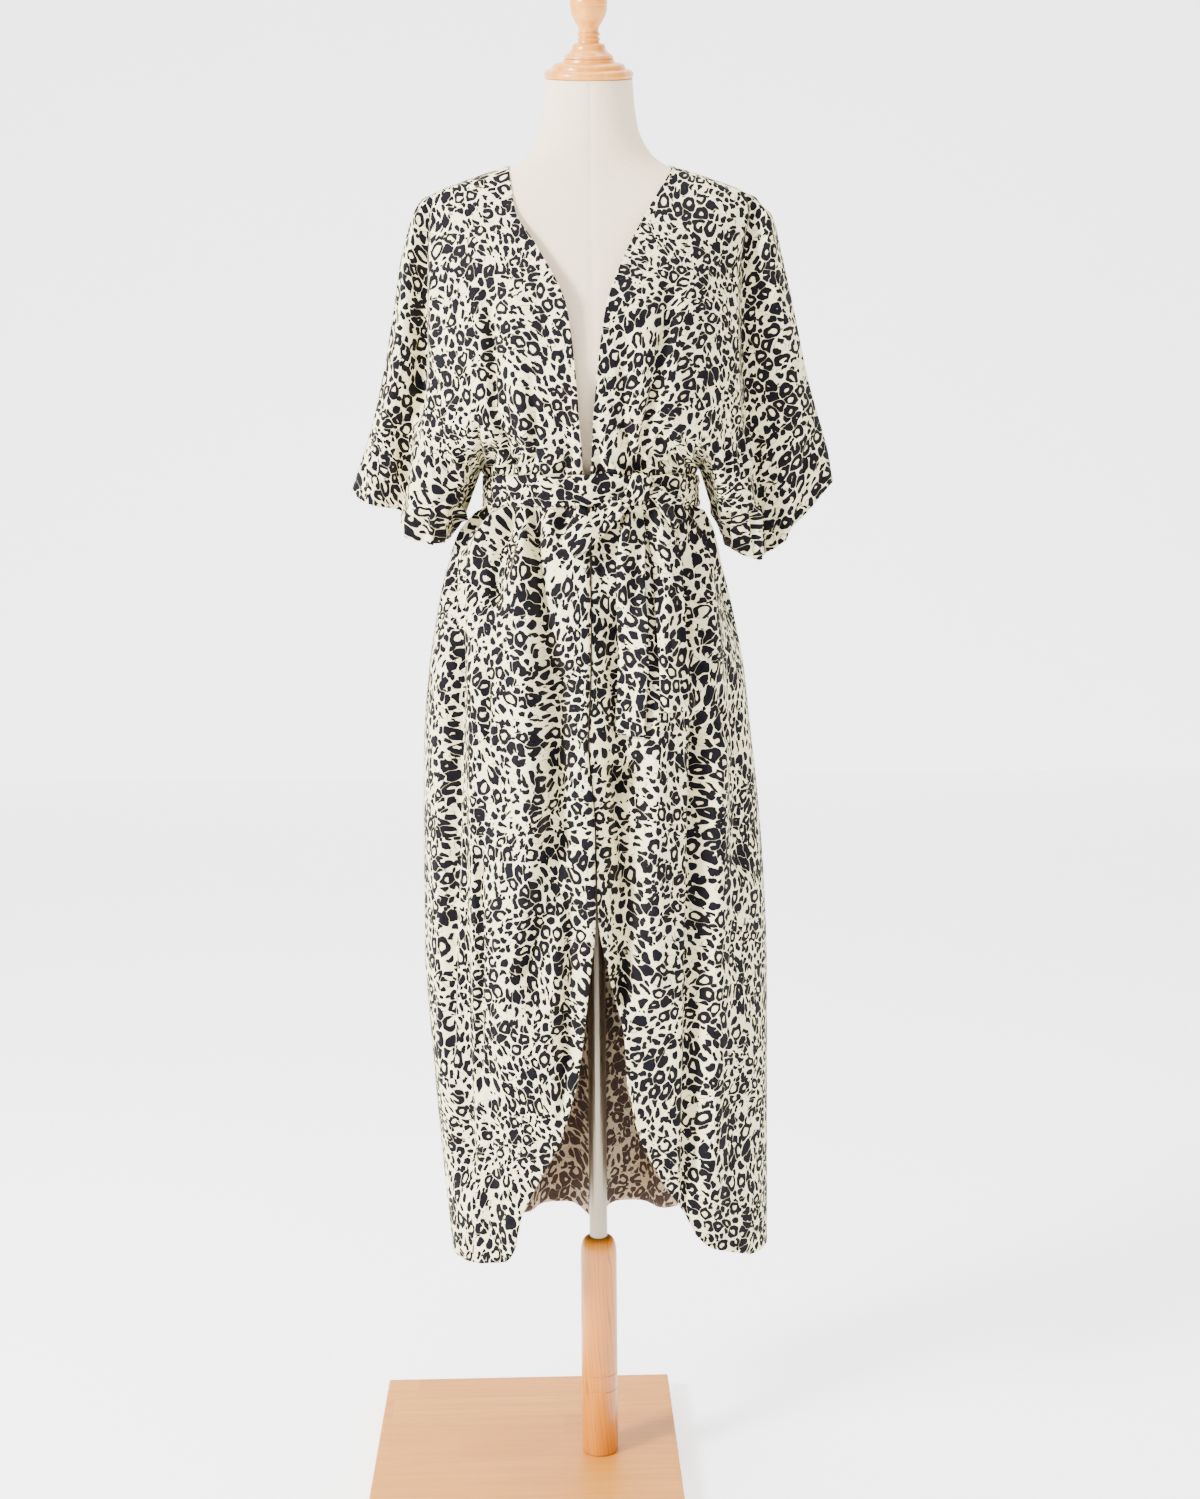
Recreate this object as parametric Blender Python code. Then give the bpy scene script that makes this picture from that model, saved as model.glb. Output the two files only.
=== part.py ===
"""A kimono coat, open in front and tied at the waist, on the limbless dress form it rests on.

Metres. +X is the right of the front view, -Y is the front, +Z is up, and the floor is z = 0.
The pole stands on the Z axis. The tables say left and right as in the front view; a piece named
left or right is on that side of a wearer, so coat_front_right is on the left of the front view.
"""
from collections import namedtuple
import math

import bmesh
import bpy
from mathutils import Vector
from mathutils.bvhtree import BVHTree
import numpy as np

# Driving sizes of the stand and the form
GAP = 0.0003
BASE_LEFT = 0.287
BASE_RIGHT = 0.100
BASE_HALF_DEPTH = 0.205
BASE_THICK = 0.025
TUBE_RADIUS = 0.01125
TORSO_BOTTOM = 0.945
NECK_TOP = 1.7215
NECK_TILT = math.radians(15)
NECK_TAPER = 0.96

# Driving sizes of the coat
WALL = 0.0014
LIFT = 0.0008
LIFT_ROUNDS = 8
NEAR_SEAM = 0.0022
SEAM_HALF = 0.0002
WAIST = 1.272
HEM = 0.306
CORNER_TOP = 0.65
BELT_TOP = 1.263
BELT_MIDDLE = 1.246
BELT_BOTTOM = 1.228
BELT_THICK = 0.0018
BELT_GAP = 0.0005
TAIL_WIDTH = 0.034

# The form, ring by ring: half width, depth in front and behind, and how square the ring is
Ring = namedtuple("Ring", "z half_x front back power")
TORSO = [Ring(*row) for row in (
    (0.945, 0.150, 0.098, 0.104, 2.3),
    (0.951, 0.157, 0.106, 0.110, 2.3),
    (0.965, 0.161, 0.110, 0.114, 2.3),
    (1.020, 0.163, 0.111, 0.116, 2.3),
    (1.070, 0.158, 0.108, 0.112, 2.3),
    (1.125, 0.144, 0.100, 0.102, 2.3),
    (1.185, 0.124, 0.092, 0.090, 2.2),
    (1.246, 0.113, 0.086, 0.077, 2.2),
    (1.300, 0.121, 0.099, 0.082, 2.2),
    (1.345, 0.132, 0.118, 0.089, 2.2),
    (1.380, 0.139, 0.125, 0.093, 2.2),
    (1.420, 0.144, 0.117, 0.097, 2.2),
    (1.470, 0.155, 0.098, 0.099, 2.2),
    (1.520, 0.173, 0.078, 0.093, 2.1),
    (1.550, 0.182, 0.066, 0.084, 2.0),
    (1.570, 0.1835, 0.059, 0.076, 1.9),
    (1.583, 0.180, 0.054, 0.069, 1.8),
    (1.593, 0.170, 0.051, 0.063, 1.7),
    (1.603, 0.147, 0.049, 0.059, 1.7),
    (1.613, 0.119, 0.048, 0.057, 1.8),
    (1.6205, 0.094, 0.0475, 0.056, 1.9),
    (1.631, 0.077, 0.048, 0.055, 2.0),
    (1.645, 0.066, 0.0485, 0.0545, 2.0),
    (1.663, 0.0578, 0.049, 0.054, 2.0),
    (1.690, 0.0532, 0.050, 0.0535, 2.0),
)]
TORSO_SIDES = 28

# The turned wood on the neck and the post, as radius and height from the piece's foot
CAP_PROFILE = (
    (0.0500, 0.0000), (0.0518, 0.0015), (0.0522, 0.0045), (0.0512, 0.0075), (0.0475, 0.0095),
    (0.0432, 0.0100), (0.0432, 0.0150), (0.0412, 0.0168), (0.0305, 0.0172), (0.0295, 0.0215),
)
FINIAL_PROFILE = (
    (0.0285, 0.0000), (0.0282, 0.0030), (0.0235, 0.0065), (0.0196, 0.0105), (0.0187, 0.0150),
    (0.0130, 0.0165), (0.0122, 0.0190), (0.0134, 0.0215), (0.0110, 0.0240), (0.0134, 0.0265),
    (0.0120, 0.0295), (0.0112, 0.0330), (0.0150, 0.0385), (0.0195, 0.0455), (0.0216, 0.0530),
    (0.0212, 0.0610), (0.0180, 0.0690), (0.0120, 0.0750), (0.0050, 0.0780),
)
POST_PROFILE = (
    (0.0223, 0.0000), (0.0228, 0.0020), (0.0230, 0.1500), (0.0230, 0.2620), (0.0226, 0.2700),
    (0.0212, 0.2770), (0.0185, 0.2825), (0.0150, 0.2850), (0.0125, 0.2857),
)

# The coat above the waist. At each height: where the front edge, the outer fold of the bodice and
# the overarm fold lie on each side, and how far the cloth stands out in front and behind.
Bodice = namedtuple("Bodice", "z edge_l edge_r front back ridge_l ridge_r arm_l arm_r")
BODICE = [Bodice(*row) for row in (
    (1.565, 0.087, 0.065, 0.064, 0.082, 0.185, 0.184, 0.2090, 0.2155),
    (1.520, 0.062, 0.041, 0.091, 0.102, 0.187, 0.174, 0.2225, 0.2270),
    (1.450, 0.030, 0.014, 0.124, 0.108, 0.188, 0.170, 0.2345, 0.2430),
    (1.375, 0.021, 0.003, 0.136, 0.104, 0.190, 0.171, 0.2490, 0.2590),
    (1.315, 0.0165, -0.002, 0.127, 0.098, 0.208, 0.174, 0.2645, 0.2765),
)]
# The same for the skirt, with its half widths, and the front edges' distance from the middle
Skirt = namedtuple("Skirt", "z left right front_l front_r back edge_l edge_r")
SKIRT = [Skirt(*row) for row in (
    (1.272, 0.1310, 0.1270, 0.106, 0.106, 0.092, 0.0130, -0.0040),
    (1.263, 0.1280, 0.1240, 0.102, 0.102, 0.089, 0.0118, -0.0042),
    (1.246, 0.1265, 0.1230, 0.100, 0.100, 0.088, 0.0100, -0.0044),
    (1.228, 0.1285, 0.1250, 0.102, 0.102, 0.090, 0.0085, -0.0046),
    (1.195, 0.1580, 0.1440, 0.118, 0.117, 0.112, 0.0070, -0.0048),
    (1.155, 0.1755, 0.1560, 0.130, 0.128, 0.127, 0.0068, -0.0048),
    (1.100, 0.1885, 0.1695, 0.138, 0.136, 0.138, 0.0066, -0.0046),
    (1.030, 0.2000, 0.1830, 0.142, 0.140, 0.144, 0.0080, -0.0058),
    (0.960, 0.2065, 0.1905, 0.140, 0.138, 0.145, 0.0110, -0.0090),
    (0.860, 0.2095, 0.2010, 0.136, 0.133, 0.144, 0.0040, -0.0020),
    (0.750, 0.2110, 0.2085, 0.131, 0.127, 0.142, 0.0036, 0.0000),
    (0.670, 0.2115, 0.2115, 0.127, 0.121, 0.141, 0.0115, 0.0145),
    (0.600, 0.2070, 0.2120, 0.123, 0.117, 0.140, 0.0195, 0.0300),
    (0.500, 0.2005, 0.2125, 0.118, 0.112, 0.139, 0.0310, 0.0340),
    (0.400, 0.1925, 0.2130, 0.112, 0.107, 0.139, 0.0340, 0.0360),
    (0.306, 0.1845, 0.2135, 0.107, 0.103, 0.140, 0.0360, 0.0360),
)]
RING_POWER = 2.25
# Lines down a panel: 0 front edge, 3 side seam, 4 end of the underarm seam, 6 outer fold of the
# bodice, 7 the hollow beside it, 9 overarm fold. Shares of the way from the edge to the outer fold:
BODICE_SHARE = (0.0, 0.25, 0.47, 0.66, 0.82, 0.93, 1.0)
# How far round towards its outer fold the bodice reaches, and how squarely it turns there
BODICE_REACH = 0.893
BODICE_POWER = 2.3
BODICE_BLUNT = 0.67
# The neck point of the back comes nearer the middle by this share of its drop
BACK_NECK_SLOPE = 0.125
BACK_START = math.radians(38)
BACK_SLEEVE_SHARE = 0.85
BACK_BLOUSE_SHARE = 0.6
BACK_BLOUSE_WIDER = 1.02
BACK_BLOUSE_OUT = 0.004
# The middle line of the back above the bodice rows and below them, as distance behind and height
BACK_TOP = ((0.062, 1.632), (0.071, 1.612))
BACK_LOW = ((0.096, 1.290), (0.092, 1.272))
SHOULDER_X = (0.0945, 0.108, 0.122, 0.137, 0.153, 0.164, 0.172, 0.179, 0.187, 0.196)
SHOULDER_RIDGE = ((0.090, 1.6245), (0.120, 1.6160), (0.148, 1.6065), (0.175, 1.5965), (0.196, 1.5865))
ROLL_Y = (0.024, 0.024, 0.024, 0.024, 0.024, 0.023, 0.021, 0.016, 0.010, 0.0)
ROLL_DROP = (0.009, 0.009, 0.009, 0.009, 0.009, 0.009, 0.0085, 0.0085, 0.0085, 0.009)
ROLL_OUT = (-0.001, -0.001, 0.0, 0.001, 0.002, 0.003, 0.004, 0.005, 0.006, 0.007)
VALLEY_SHARE = 0.14
VALLEY_Y = 0.011
SLEEVE_SHARE = 0.68
SLEEVE_Y = 0.025
FULL_SLEEVE = 0.050
# The blouse above the belt and the cuff, for lines 3 to 9: distance out, forward and height
Line = namedtuple("Line", "line x y z")
BLOUSE_LEFT = [Line(*row) for row in (
    (0, 0.0140, 0.114, 1.290), (1, 0.055, 0.112, 1.290), (2, 0.103, 0.086, 1.290),
    (3, 0.137, 0.060, 1.286), (4, 0.153, 0.062, 1.250), (5, 0.184, 0.070, 1.240),
    (6, 0.214, 0.055, 1.255), (7, 0.217, 0.012, 1.268), (8, 0.255, 0.026, 1.270),
    (9, 0.2780, 0.0, 1.276),
)]
CUFF_LEFT = [Line(*row) for row in (
    (3, 0.131, 0.0, 1.272), (4, 0.161, 0.0, 1.203), (5, 0.190, 0.050, 1.184),
    (6, 0.2225, 0.045, 1.197), (7, 0.2285, 0.012, 1.2235), (8, 0.262, 0.024, 1.2305),
    (9, 0.2886, 0.0, 1.245),
)]
BLOUSE_RIGHT = [Line(*row) for row in (
    (0, -0.003, 0.114, 1.290), (1, 0.045, 0.113, 1.290), (2, 0.096, 0.090, 1.290),
    (3, 0.132, 0.062, 1.286), (4, 0.146, 0.066, 1.245), (5, 0.164, 0.070, 1.232),
    (6, 0.187, 0.060, 1.230), (7, 0.197, 0.014, 1.238), (8, 0.236, 0.026, 1.245),
    (9, 0.2830, 0.0, 1.292),
)]
CUFF_RIGHT = [Line(*row) for row in (
    (3, 0.127, 0.0, 1.272), (4, 0.149, 0.0, 1.208), (5, 0.168, 0.055, 1.176),
    (6, 0.1935, 0.058, 1.163), (7, 0.2040, 0.014, 1.168), (8, 0.2230, 0.026, 1.181),
    (9, 0.2897, 0.0, 1.254),
)]
# The rounded lower corner of a front: distance from its edge, and rise of the hem there
CORNER_LEFT = (
    (0.0, 0.240), (0.011, 0.178), (0.026, 0.140), (0.045, 0.100),
    (0.058, 0.070), (0.068, 0.025), (0.080, 0.008), (0.110, 0.0),
)
CORNER_RIGHT = (
    (0.0, 0.240), (0.011, 0.178), (0.026, 0.140), (0.045, 0.103),
    (0.066, 0.072), (0.080, 0.043), (0.105, 0.018), (0.150, 0.0),
)
# Folds as seen from the front or the back: both ends, half width, and height out of the cloth
Fold = namedtuple("Fold", "x0 z0 x1 z1 half_width height")
FRONT_FOLDS = [Fold(*row) for row in (
    (-0.122, 1.480, -0.106, 1.345, 0.011, -0.008),
    (-0.106, 1.345, -0.094, 1.285, 0.010, -0.008),
    (-0.088, 1.470, -0.078, 1.300, 0.014, 0.005),
    (-0.070, 1.380, -0.070, 1.285, 0.008, -0.004),
    (0.092, 1.480, 0.066, 1.330, 0.011, -0.007),
    (0.066, 1.330, 0.056, 1.285, 0.009, -0.006),
    (0.034, 1.420, 0.044, 1.290, 0.010, -0.004),
    (-0.098, 1.215, -0.124, 1.110, 0.013, -0.015),
    (-0.070, 1.215, -0.050, 1.020, 0.014, -0.017),
    (-0.050, 1.040, -0.046, 0.830, 0.016, -0.024),
    (-0.046, 0.850, -0.078, 0.640, 0.016, -0.017),
    (-0.080, 1.100, -0.078, 0.760, 0.021, 0.013),
    (-0.168, 1.080, -0.165, 0.420, 0.013, -0.017),
    (-0.138, 0.900, -0.132, 0.330, 0.013, -0.008),
    (-0.034, 0.780, -0.040, 0.560, 0.013, -0.017),
    (0.026, 1.120, 0.032, 0.900, 0.018, -0.024),
    (0.032, 0.930, 0.030, 0.640, 0.020, -0.034),
    (0.064, 1.100, 0.060, 0.650, 0.022, 0.014),
    (0.115, 1.190, 0.118, 1.020, 0.013, -0.015),
    (0.122, 0.980, 0.113, 0.420, 0.011, -0.020),
    (0.142, 0.960, 0.134, 0.370, 0.015, 0.010),
    (0.162, 1.150, 0.172, 0.800, 0.014, -0.010),
)]
BACK_FOLDS = [Fold(*row) for row in (
    (-0.120, 1.470, -0.088, 1.290, 0.013, -0.008),
    (0.116, 1.480, 0.084, 1.290, 0.013, -0.008),
    (-0.040, 1.400, -0.046, 1.290, 0.012, -0.006),
    (0.044, 1.390, 0.040, 1.290, 0.012, -0.006),
    (-0.005, 1.200, -0.004, 0.650, 0.020, -0.028),
    (-0.004, 0.660, -0.004, 0.250, 0.019, -0.070),
    (-0.072, 1.210, -0.088, 0.760, 0.016, -0.021),
    (-0.088, 0.780, -0.100, 0.300, 0.020, -0.038),
    (0.070, 1.210, 0.086, 0.800, 0.016, -0.021),
    (0.086, 0.820, 0.092, 0.300, 0.020, -0.034),
    (-0.132, 1.200, -0.150, 0.520, 0.015, -0.021),
    (0.128, 1.190, 0.150, 0.480, 0.015, -0.021),
)]
FOLD_END = 0.045

# The sash's bow and tails in the front view: the middle line's x and z
KNOT = (0.050, 1.2465)
KNOT_SIZE = (0.0140, 0.0085, 0.0170)
LOOP_LEFT = ((0.034, 1.2370), (0.014, 1.2165), (-0.004, 1.1990), (-0.019, 1.1860))
LOOP_RIGHT = ((0.0715, 1.2435), (0.081, 1.2350), (0.090, 1.2220), (0.097, 1.2070))
TAIL_LONG = ((0.0465, 1.2270), (0.0430, 1.190), (0.0400, 1.120), (0.0400, 1.040), (0.0395, 0.966))
TAIL_SHORT = ((0.0600, 1.2260), (0.0740, 1.195), (0.0840, 1.150), (0.0870, 1.080), (0.0865, 0.994))
RIBBON = 0.0014
SEAT = 0.0006
REST_CLEAR = 0.0014
REST_ROUNDS = 12
TAIL_PINCH = 0.62
TAIL_ROWS = 12
LOOP_WIDTH = 0.021
LOOP_PINCH = 0.45
LOOP_ROWS = 5
LOOP_OPEN = 0.006
# The loop's turn at its tip: distance beyond the tip, and share of the way from back to front
LOOP_TURN = ((0.0030, 0.13), (0.0042, 0.50), (0.0030, 0.87))

# How finely the panels are divided
FRONT_COLUMNS = 19
BACK_COLUMNS = 13
SLEEVE_COLUMNS = 12
NECK_COLUMNS = 4
ROW_STEPS = (0, 0.5, 1, 1.5, 2, 3, 3.5, 4, 4.5, 5, 5.5, 6, 6.5, 7, 7.5, 8)
SKIRT_ROWS = (
    1.263, 1.246, 1.228, 1.200, 1.155, 1.090, 1.000,
    0.890, 0.770, 0.650, 0.560, 0.470, 0.380, 0.306,
)


def clear_scene():
    """Remove whatever the scene holds."""
    for item in list(bpy.data.objects):
        bpy.data.objects.remove(item, do_unlink=True)


def material(name, colour, roughness, metallic=0.0):
    """One plain surface of the given colour."""
    surface = bpy.data.materials.new(name)
    surface.use_nodes = True
    shader = surface.node_tree.nodes["Principled BSDF"]
    shader.inputs["Base Color"].default_value = (*colour, 1.0)
    shader.inputs["Roughness"].default_value = roughness
    shader.inputs["Metallic"].default_value = metallic
    surface.diffuse_color = (*colour, 1.0)
    return surface


def place(name, mesh, surface, sharp_degrees=40):
    """Put a mesh in the scene as one named, smoothly shaded object."""
    mesh.materials.append(surface)
    mesh.shade_smooth()
    mesh.set_sharp_from_angle(angle=math.radians(sharp_degrees))
    item = bpy.data.objects.new(name, mesh)
    bpy.context.scene.collection.objects.link(item)
    return item


def mesh_from(name, vertices, faces):
    """A mesh from plain lists."""
    mesh = bpy.data.meshes.new(name)
    mesh.from_pydata([tuple(map(float, point)) for point in vertices], [], faces)
    mesh.validate()
    return mesh


def smooth_curve(knots, values, at):
    """A smooth curve through the values that never swings past them."""
    knots = np.asarray(knots, float)
    values = np.asarray(values, float)
    at = np.clip(np.asarray(at, float), knots[0], knots[-1])
    step = np.diff(knots)
    rise = np.diff(values) / step
    slope = np.zeros_like(values)
    slope[0] = rise[0]
    slope[-1] = rise[-1]
    for i in range(1, len(values) - 1):
        if rise[i - 1] * rise[i] > 0:
            slope[i] = 2 * rise[i - 1] * rise[i] / (rise[i - 1] + rise[i])
    i = np.clip(np.searchsorted(knots, at, side="right") - 1, 0, len(step) - 1)
    t = (at - knots[i]) / step[i]
    start = values[i] * (1 + 2 * t) * (1 - t) ** 2 + slope[i] * step[i] * t * (1 - t) ** 2
    end = values[i + 1] * t * t * (3 - 2 * t) - slope[i + 1] * step[i] * t * t * (1 - t)
    return start + end


def by_height(table, field, z):
    """A named column of a table, read at a height."""
    rows = sorted(table, key=lambda row: row.z)
    return smooth_curve([row.z for row in rows], [getattr(row, field) for row in rows], z)


def oval(angle, half_x, depth, power):
    """A point of a squarish oval, its angle counted from straight ahead."""
    across = math.copysign(abs(math.sin(angle)) ** (2 / power), math.sin(angle))
    ahead = math.copysign(abs(math.cos(angle)) ** (2 / power), math.cos(angle))
    return half_x * across, depth * ahead


# The form

def torso_rings():
    """The rings of the form from its foot to the sloping top of its neck."""
    rings = []
    for row in TORSO:
        rings.append([])
        for i in range(TORSO_SIDES):
            angle = 2 * math.pi * i / TORSO_SIDES
            depth = row.front if math.cos(angle) > 0 else row.back
            x, ahead = oval(angle, row.half_x, depth, row.power)
            rings[-1].append((x, -ahead, row.z))
    top = []
    for x, y, _ in rings[-1]:
        top.append((x * NECK_TAPER, y * NECK_TAPER, NECK_TOP + math.tan(NECK_TILT) * y * NECK_TAPER))
    rings.append(top)
    return rings


def closed_stack(name, rings):
    """A closed solid through rings that lie one above the other."""
    count = len(rings[0])
    vertices = [point for ring in rings for point in ring]
    faces = []
    for level in range(len(rings) - 1):
        for i in range(count):
            low = level * count
            nxt = (i + 1) % count
            faces.append((low + i, low + nxt, low + count + nxt, low + count + i))
    faces.append(tuple(reversed(range(count))))
    faces.append(tuple(range((len(rings) - 1) * count, len(rings) * count)))
    return mesh_from(name, vertices, faces)


def make_torso():
    """The linen covered torso with its neck."""
    mesh = closed_stack("form_torso", torso_rings())
    return place("form_torso", mesh, material("linen", (0.86, 0.80, 0.72), 0.9), 60)


def turned(name, profile, surface, sides=20):
    """A turned piece, standing on its own origin."""
    rings = []
    for radius, height in profile:
        turn = [2 * math.pi * i / sides for i in range(sides)]
        rings.append([(radius * math.cos(a), radius * math.sin(a), height) for a in turn])
    return place(name, closed_stack(name, rings), surface)


def make_neck_wood():
    """The cap on the sloping neck and the finial on the cap."""
    wood = material("turned_wood", (0.85, 0.55, 0.27), 0.45)
    axis = Vector((0.0, -math.sin(NECK_TILT), math.cos(NECK_TILT)))
    cap = turned("form_neck_cap", CAP_PROFILE, wood)
    finial = turned("form_finial", FINIAL_PROFILE, wood, 16)
    foot = Vector((0.0, 0.001, NECK_TOP + 0.001 * math.tan(NECK_TILT)))
    cap.location = foot + axis * GAP
    finial.location = foot + axis * (CAP_PROFILE[-1][1] + 2 * GAP)
    for piece in (cap, finial):
        piece.rotation_euler = (NECK_TILT, 0.0, 0.0)


def make_stand():
    """Base plate, wooden post and metal tube."""
    mesh = bpy.data.meshes.new("stand_base")
    shape = bmesh.new()
    bmesh.ops.create_cube(shape, size=1.0)
    bmesh.ops.scale(
        shape, verts=shape.verts, vec=(BASE_LEFT + BASE_RIGHT, 2 * BASE_HALF_DEPTH, BASE_THICK)
    )
    bmesh.ops.bevel(
        shape, geom=shape.edges, offset=0.0025, segments=2, affect="EDGES", profile=0.5
    )
    shape.to_mesh(mesh)
    shape.free()
    base = place("stand_base", mesh, material("base_wood", (0.78, 0.52, 0.29), 0.5), 30)
    base.location = ((BASE_RIGHT - BASE_LEFT) / 2, 0.0, BASE_THICK / 2)
    post = turned("stand_post", POST_PROFILE, material("post_wood", (0.78, 0.47, 0.18), 0.45))
    post.location = (0.0, 0.0, BASE_THICK + GAP)
    foot = BASE_THICK + GAP + POST_PROFILE[-1][1] + GAP
    tube = ((TUBE_RADIUS, 0.0), (TUBE_RADIUS, TORSO_BOTTOM - GAP - foot))
    rod = turned("stand_tube", tube, material("satin_metal", (0.62, 0.60, 0.58), 0.35, 1.0), 24)
    rod.location = (0.0, 0.0, foot)


# The coat's surface

def bodice_lines(row, side, back):
    """The ten lines of a panel at one height above the waist, as distance out and forward."""
    edge = getattr(row, "edge_l" if side < 0 else "edge_r")
    ridge = getattr(row, "ridge_l" if side < 0 else "ridge_r")
    arm = getattr(row, "arm_l" if side < 0 else "arm_r")
    depth = row.back if back else row.front
    if back:
        edge = SHOULDER_X[0] - BACK_NECK_SLOPE * (SHOULDER_RIDGE[0][1] - row.z)
    points = []
    for share in BODICE_SHARE:
        x = edge + share * (ridge - edge)
        flat = max(0.0, 1 - abs(BODICE_REACH * x / ridge) ** BODICE_POWER)
        points.append((x, depth * flat ** BODICE_BLUNT))
    spread = arm - ridge
    points.append((ridge + VALLEY_SHARE * spread, VALLEY_Y))
    points.append((ridge + SLEEVE_SHARE * spread, SLEEVE_Y * min(1.0, spread / FULL_SLEEVE)))
    points.append((arm, 0.0))
    return [(x, y, row.z) for x, y in points]


def shoulder_height(x):
    """Height of the shoulder seam at a distance from the middle."""
    return float(np.interp(x, *zip(*SHOULDER_RIDGE)))


def waist_ring(side, back, z, line):
    """A point of the closed ring below the bodice, for lines 0 to 3."""
    half_x = by_height(SKIRT, "left" if side < 0 else "right", z)
    if back:
        depth = by_height(SKIRT, "back", z)
        start = BACK_START
    else:
        depth = by_height(SKIRT, "front_l" if side < 0 else "front_r", z)
        edge = by_height(SKIRT, "edge_l" if side < 0 else "edge_r", z)
        share = math.copysign(abs(edge / half_x) ** (RING_POWER / 2), edge)
        start = math.asin(share)
    angle = start + (math.pi / 2 - start) * line / 3
    x, ahead = oval(angle, half_x, depth, RING_POWER)
    return x, ahead


def panel_lines(side, back):
    """For each of the ten lines of a panel, its points from the shoulder to the belt or cuff."""
    blouse = BLOUSE_LEFT if side < 0 else BLOUSE_RIGHT
    cuff = {row.line: row for row in (CUFF_LEFT if side < 0 else CUFF_RIGHT)}
    rows = [bodice_lines(row, side, back) for row in BODICE]
    lines = []
    for i in range(10):
        x = SHOULDER_X[i]
        z = shoulder_height(x)
        down = [(x, 0.0, z), (x + ROLL_OUT[i], ROLL_Y[i], z - ROLL_DROP[i])]
        down += [row[i] for row in rows]
        out, ahead = blouse[i].x, blouse[i].y
        if back and i < 3:
            out, ahead = waist_ring(side, True, WAIST, i)
            out *= BACK_BLOUSE_WIDER
            ahead += BACK_BLOUSE_OUT
        elif back:
            ahead *= BACK_BLOUSE_SHARE if i == 3 else BACK_SLEEVE_SHARE
        down.append((out, ahead, blouse[i].z))
        if i < 3:
            ring = waist_ring(side, back, WAIST, i)
            down.append((*ring, WAIST))
        else:
            end = cuff[i]
            down.append((end.x, end.y * (BACK_SLEEVE_SHARE if back else 1.0), end.z))
        lines.append(down)
    return np.array(lines)


def bodice_point(lines, line, step):
    """A point of the bodice between the ten lines and between their rows."""
    count = lines.shape[1]
    down = []
    for axis in range(3):
        row = [smooth_curve(range(10), lines[:, i, axis], line) for i in range(count)]
        down.append(float(smooth_curve(range(count), row, step)))
    return down


def hem_rise(side, edge_distance):
    """How far the rounded corner lifts the hem at a distance from the front edge."""
    corner = CORNER_LEFT if side < 0 else CORNER_RIGHT
    return float(smooth_curve(*zip(*corner), edge_distance))


def fold_offset(x, z, folds):
    """How far the folds push the cloth out at a place of the front or back view."""
    offset = 0.0
    for fold in folds:
        run = Vector((fold.x1 - fold.x0, fold.z1 - fold.z0))
        from_start = Vector((x - fold.x0, z - fold.z0))
        along = from_start.dot(run) / run.length
        across = abs(from_start.cross(run)) / run.length
        ends = min(along, run.length - along) / FOLD_END + 0.5
        fade = min(max(ends, 0.0), 1.0)
        fade = fade * fade * (3 - 2 * fade)
        offset += fold.height * fade * math.exp(-((across / fold.half_width) ** 2))
    return offset


def skirt_point(side, back, line, z):
    """A point of the skirt, before its folds."""
    if back and line < 0:
        x0, _ = waist_ring(side, True, z, 0)
        x = x0 * (line + 2) / 2
        half_x = by_height(SKIRT, "left" if side < 0 else "right", z)
        depth = by_height(SKIRT, "back", z)
        ahead = depth * (1 - abs(x / half_x) ** RING_POWER) ** (1 / RING_POWER)
        return x, ahead, z
    x, ahead = waist_ring(side, back, z, line)
    return x, ahead, z


def back_middle(side, line, lines, step):
    """A point of the back between its middle line, -2, and the shoulder's neck point, 0."""
    neck = bodice_point(lines, 0, step)
    share = (line + 2) / 2
    middle = list(BACK_TOP) + [(row.back, row.z) for row in BODICE] + list(BACK_LOW)
    rows = range(len(middle))
    depth = float(smooth_curve(rows, [point[0] for point in middle], step))
    height = float(smooth_curve(rows, [point[1] for point in middle], step))
    bend = math.sqrt(1 - share ** 2.4) if share < 1 else 0.0
    rise = share ** 3
    return neck[0] * share, neck[1] + (depth - neck[1]) * bend, height + (neck[2] - height) * rise


# The coat's panels

def seam_plane(back):
    """Where a panel ends at the seams beside it, which all lie in one upright plane."""
    return SEAM_HALF if back else -SEAM_HALF


def grid_point(side, back, line, step, lines):
    """A point of the outer face above the waist, in world axes."""
    if line < 0:
        x, ahead, z = back_middle(side, line, lines, step)
    else:
        x, ahead, z = bodice_point(lines, line, step)
    y = ahead if back else -ahead
    return [side * x, y, z]


def panel_grid(side, back):
    """Rows of outer points of one half panel, None where the panel has no cloth."""
    lines = panel_lines(side, back)
    body = list(np.linspace(0, 3, BACK_COLUMNS if back else FRONT_COLUMNS))
    sleeve = list(np.linspace(3, 9, SLEEVE_COLUMNS + 1))[1:]
    middle = list(np.linspace(-2, 0, NECK_COLUMNS + 1))[:-1] if back else []
    columns = middle + body + sleeve
    rows = []
    for step in ROW_STEPS:
        rows.append([grid_point(side, back, line, step, lines) for line in columns])
    for z in SKIRT_ROWS:
        rows.append([])
        for line in columns:
            if line > 3:
                rows[-1].append(None)
                continue
            x, ahead, height = skirt_point(side, back, line, z)
            if not back and z < CORNER_TOP:
                edge = by_height(SKIRT, "edge_l" if side < 0 else "edge_r", HEM)
                foot, _, _ = skirt_point(side, back, line, HEM)
                rise = hem_rise(side, abs(foot - edge))
                height = CORNER_TOP - (CORNER_TOP - z) * (CORNER_TOP - HEM - rise) / (CORNER_TOP - HEM)
                x, ahead, height = skirt_point(side, back, line, height)
            rows[-1].append([side * x, ahead if back else -ahead, height])
    return rows, columns


def is_underarm_top(row, line):
    """Whether a point is the one where side seam and underarm seam meet."""
    return row == len(ROW_STEPS) - 1 and line == 3


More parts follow.
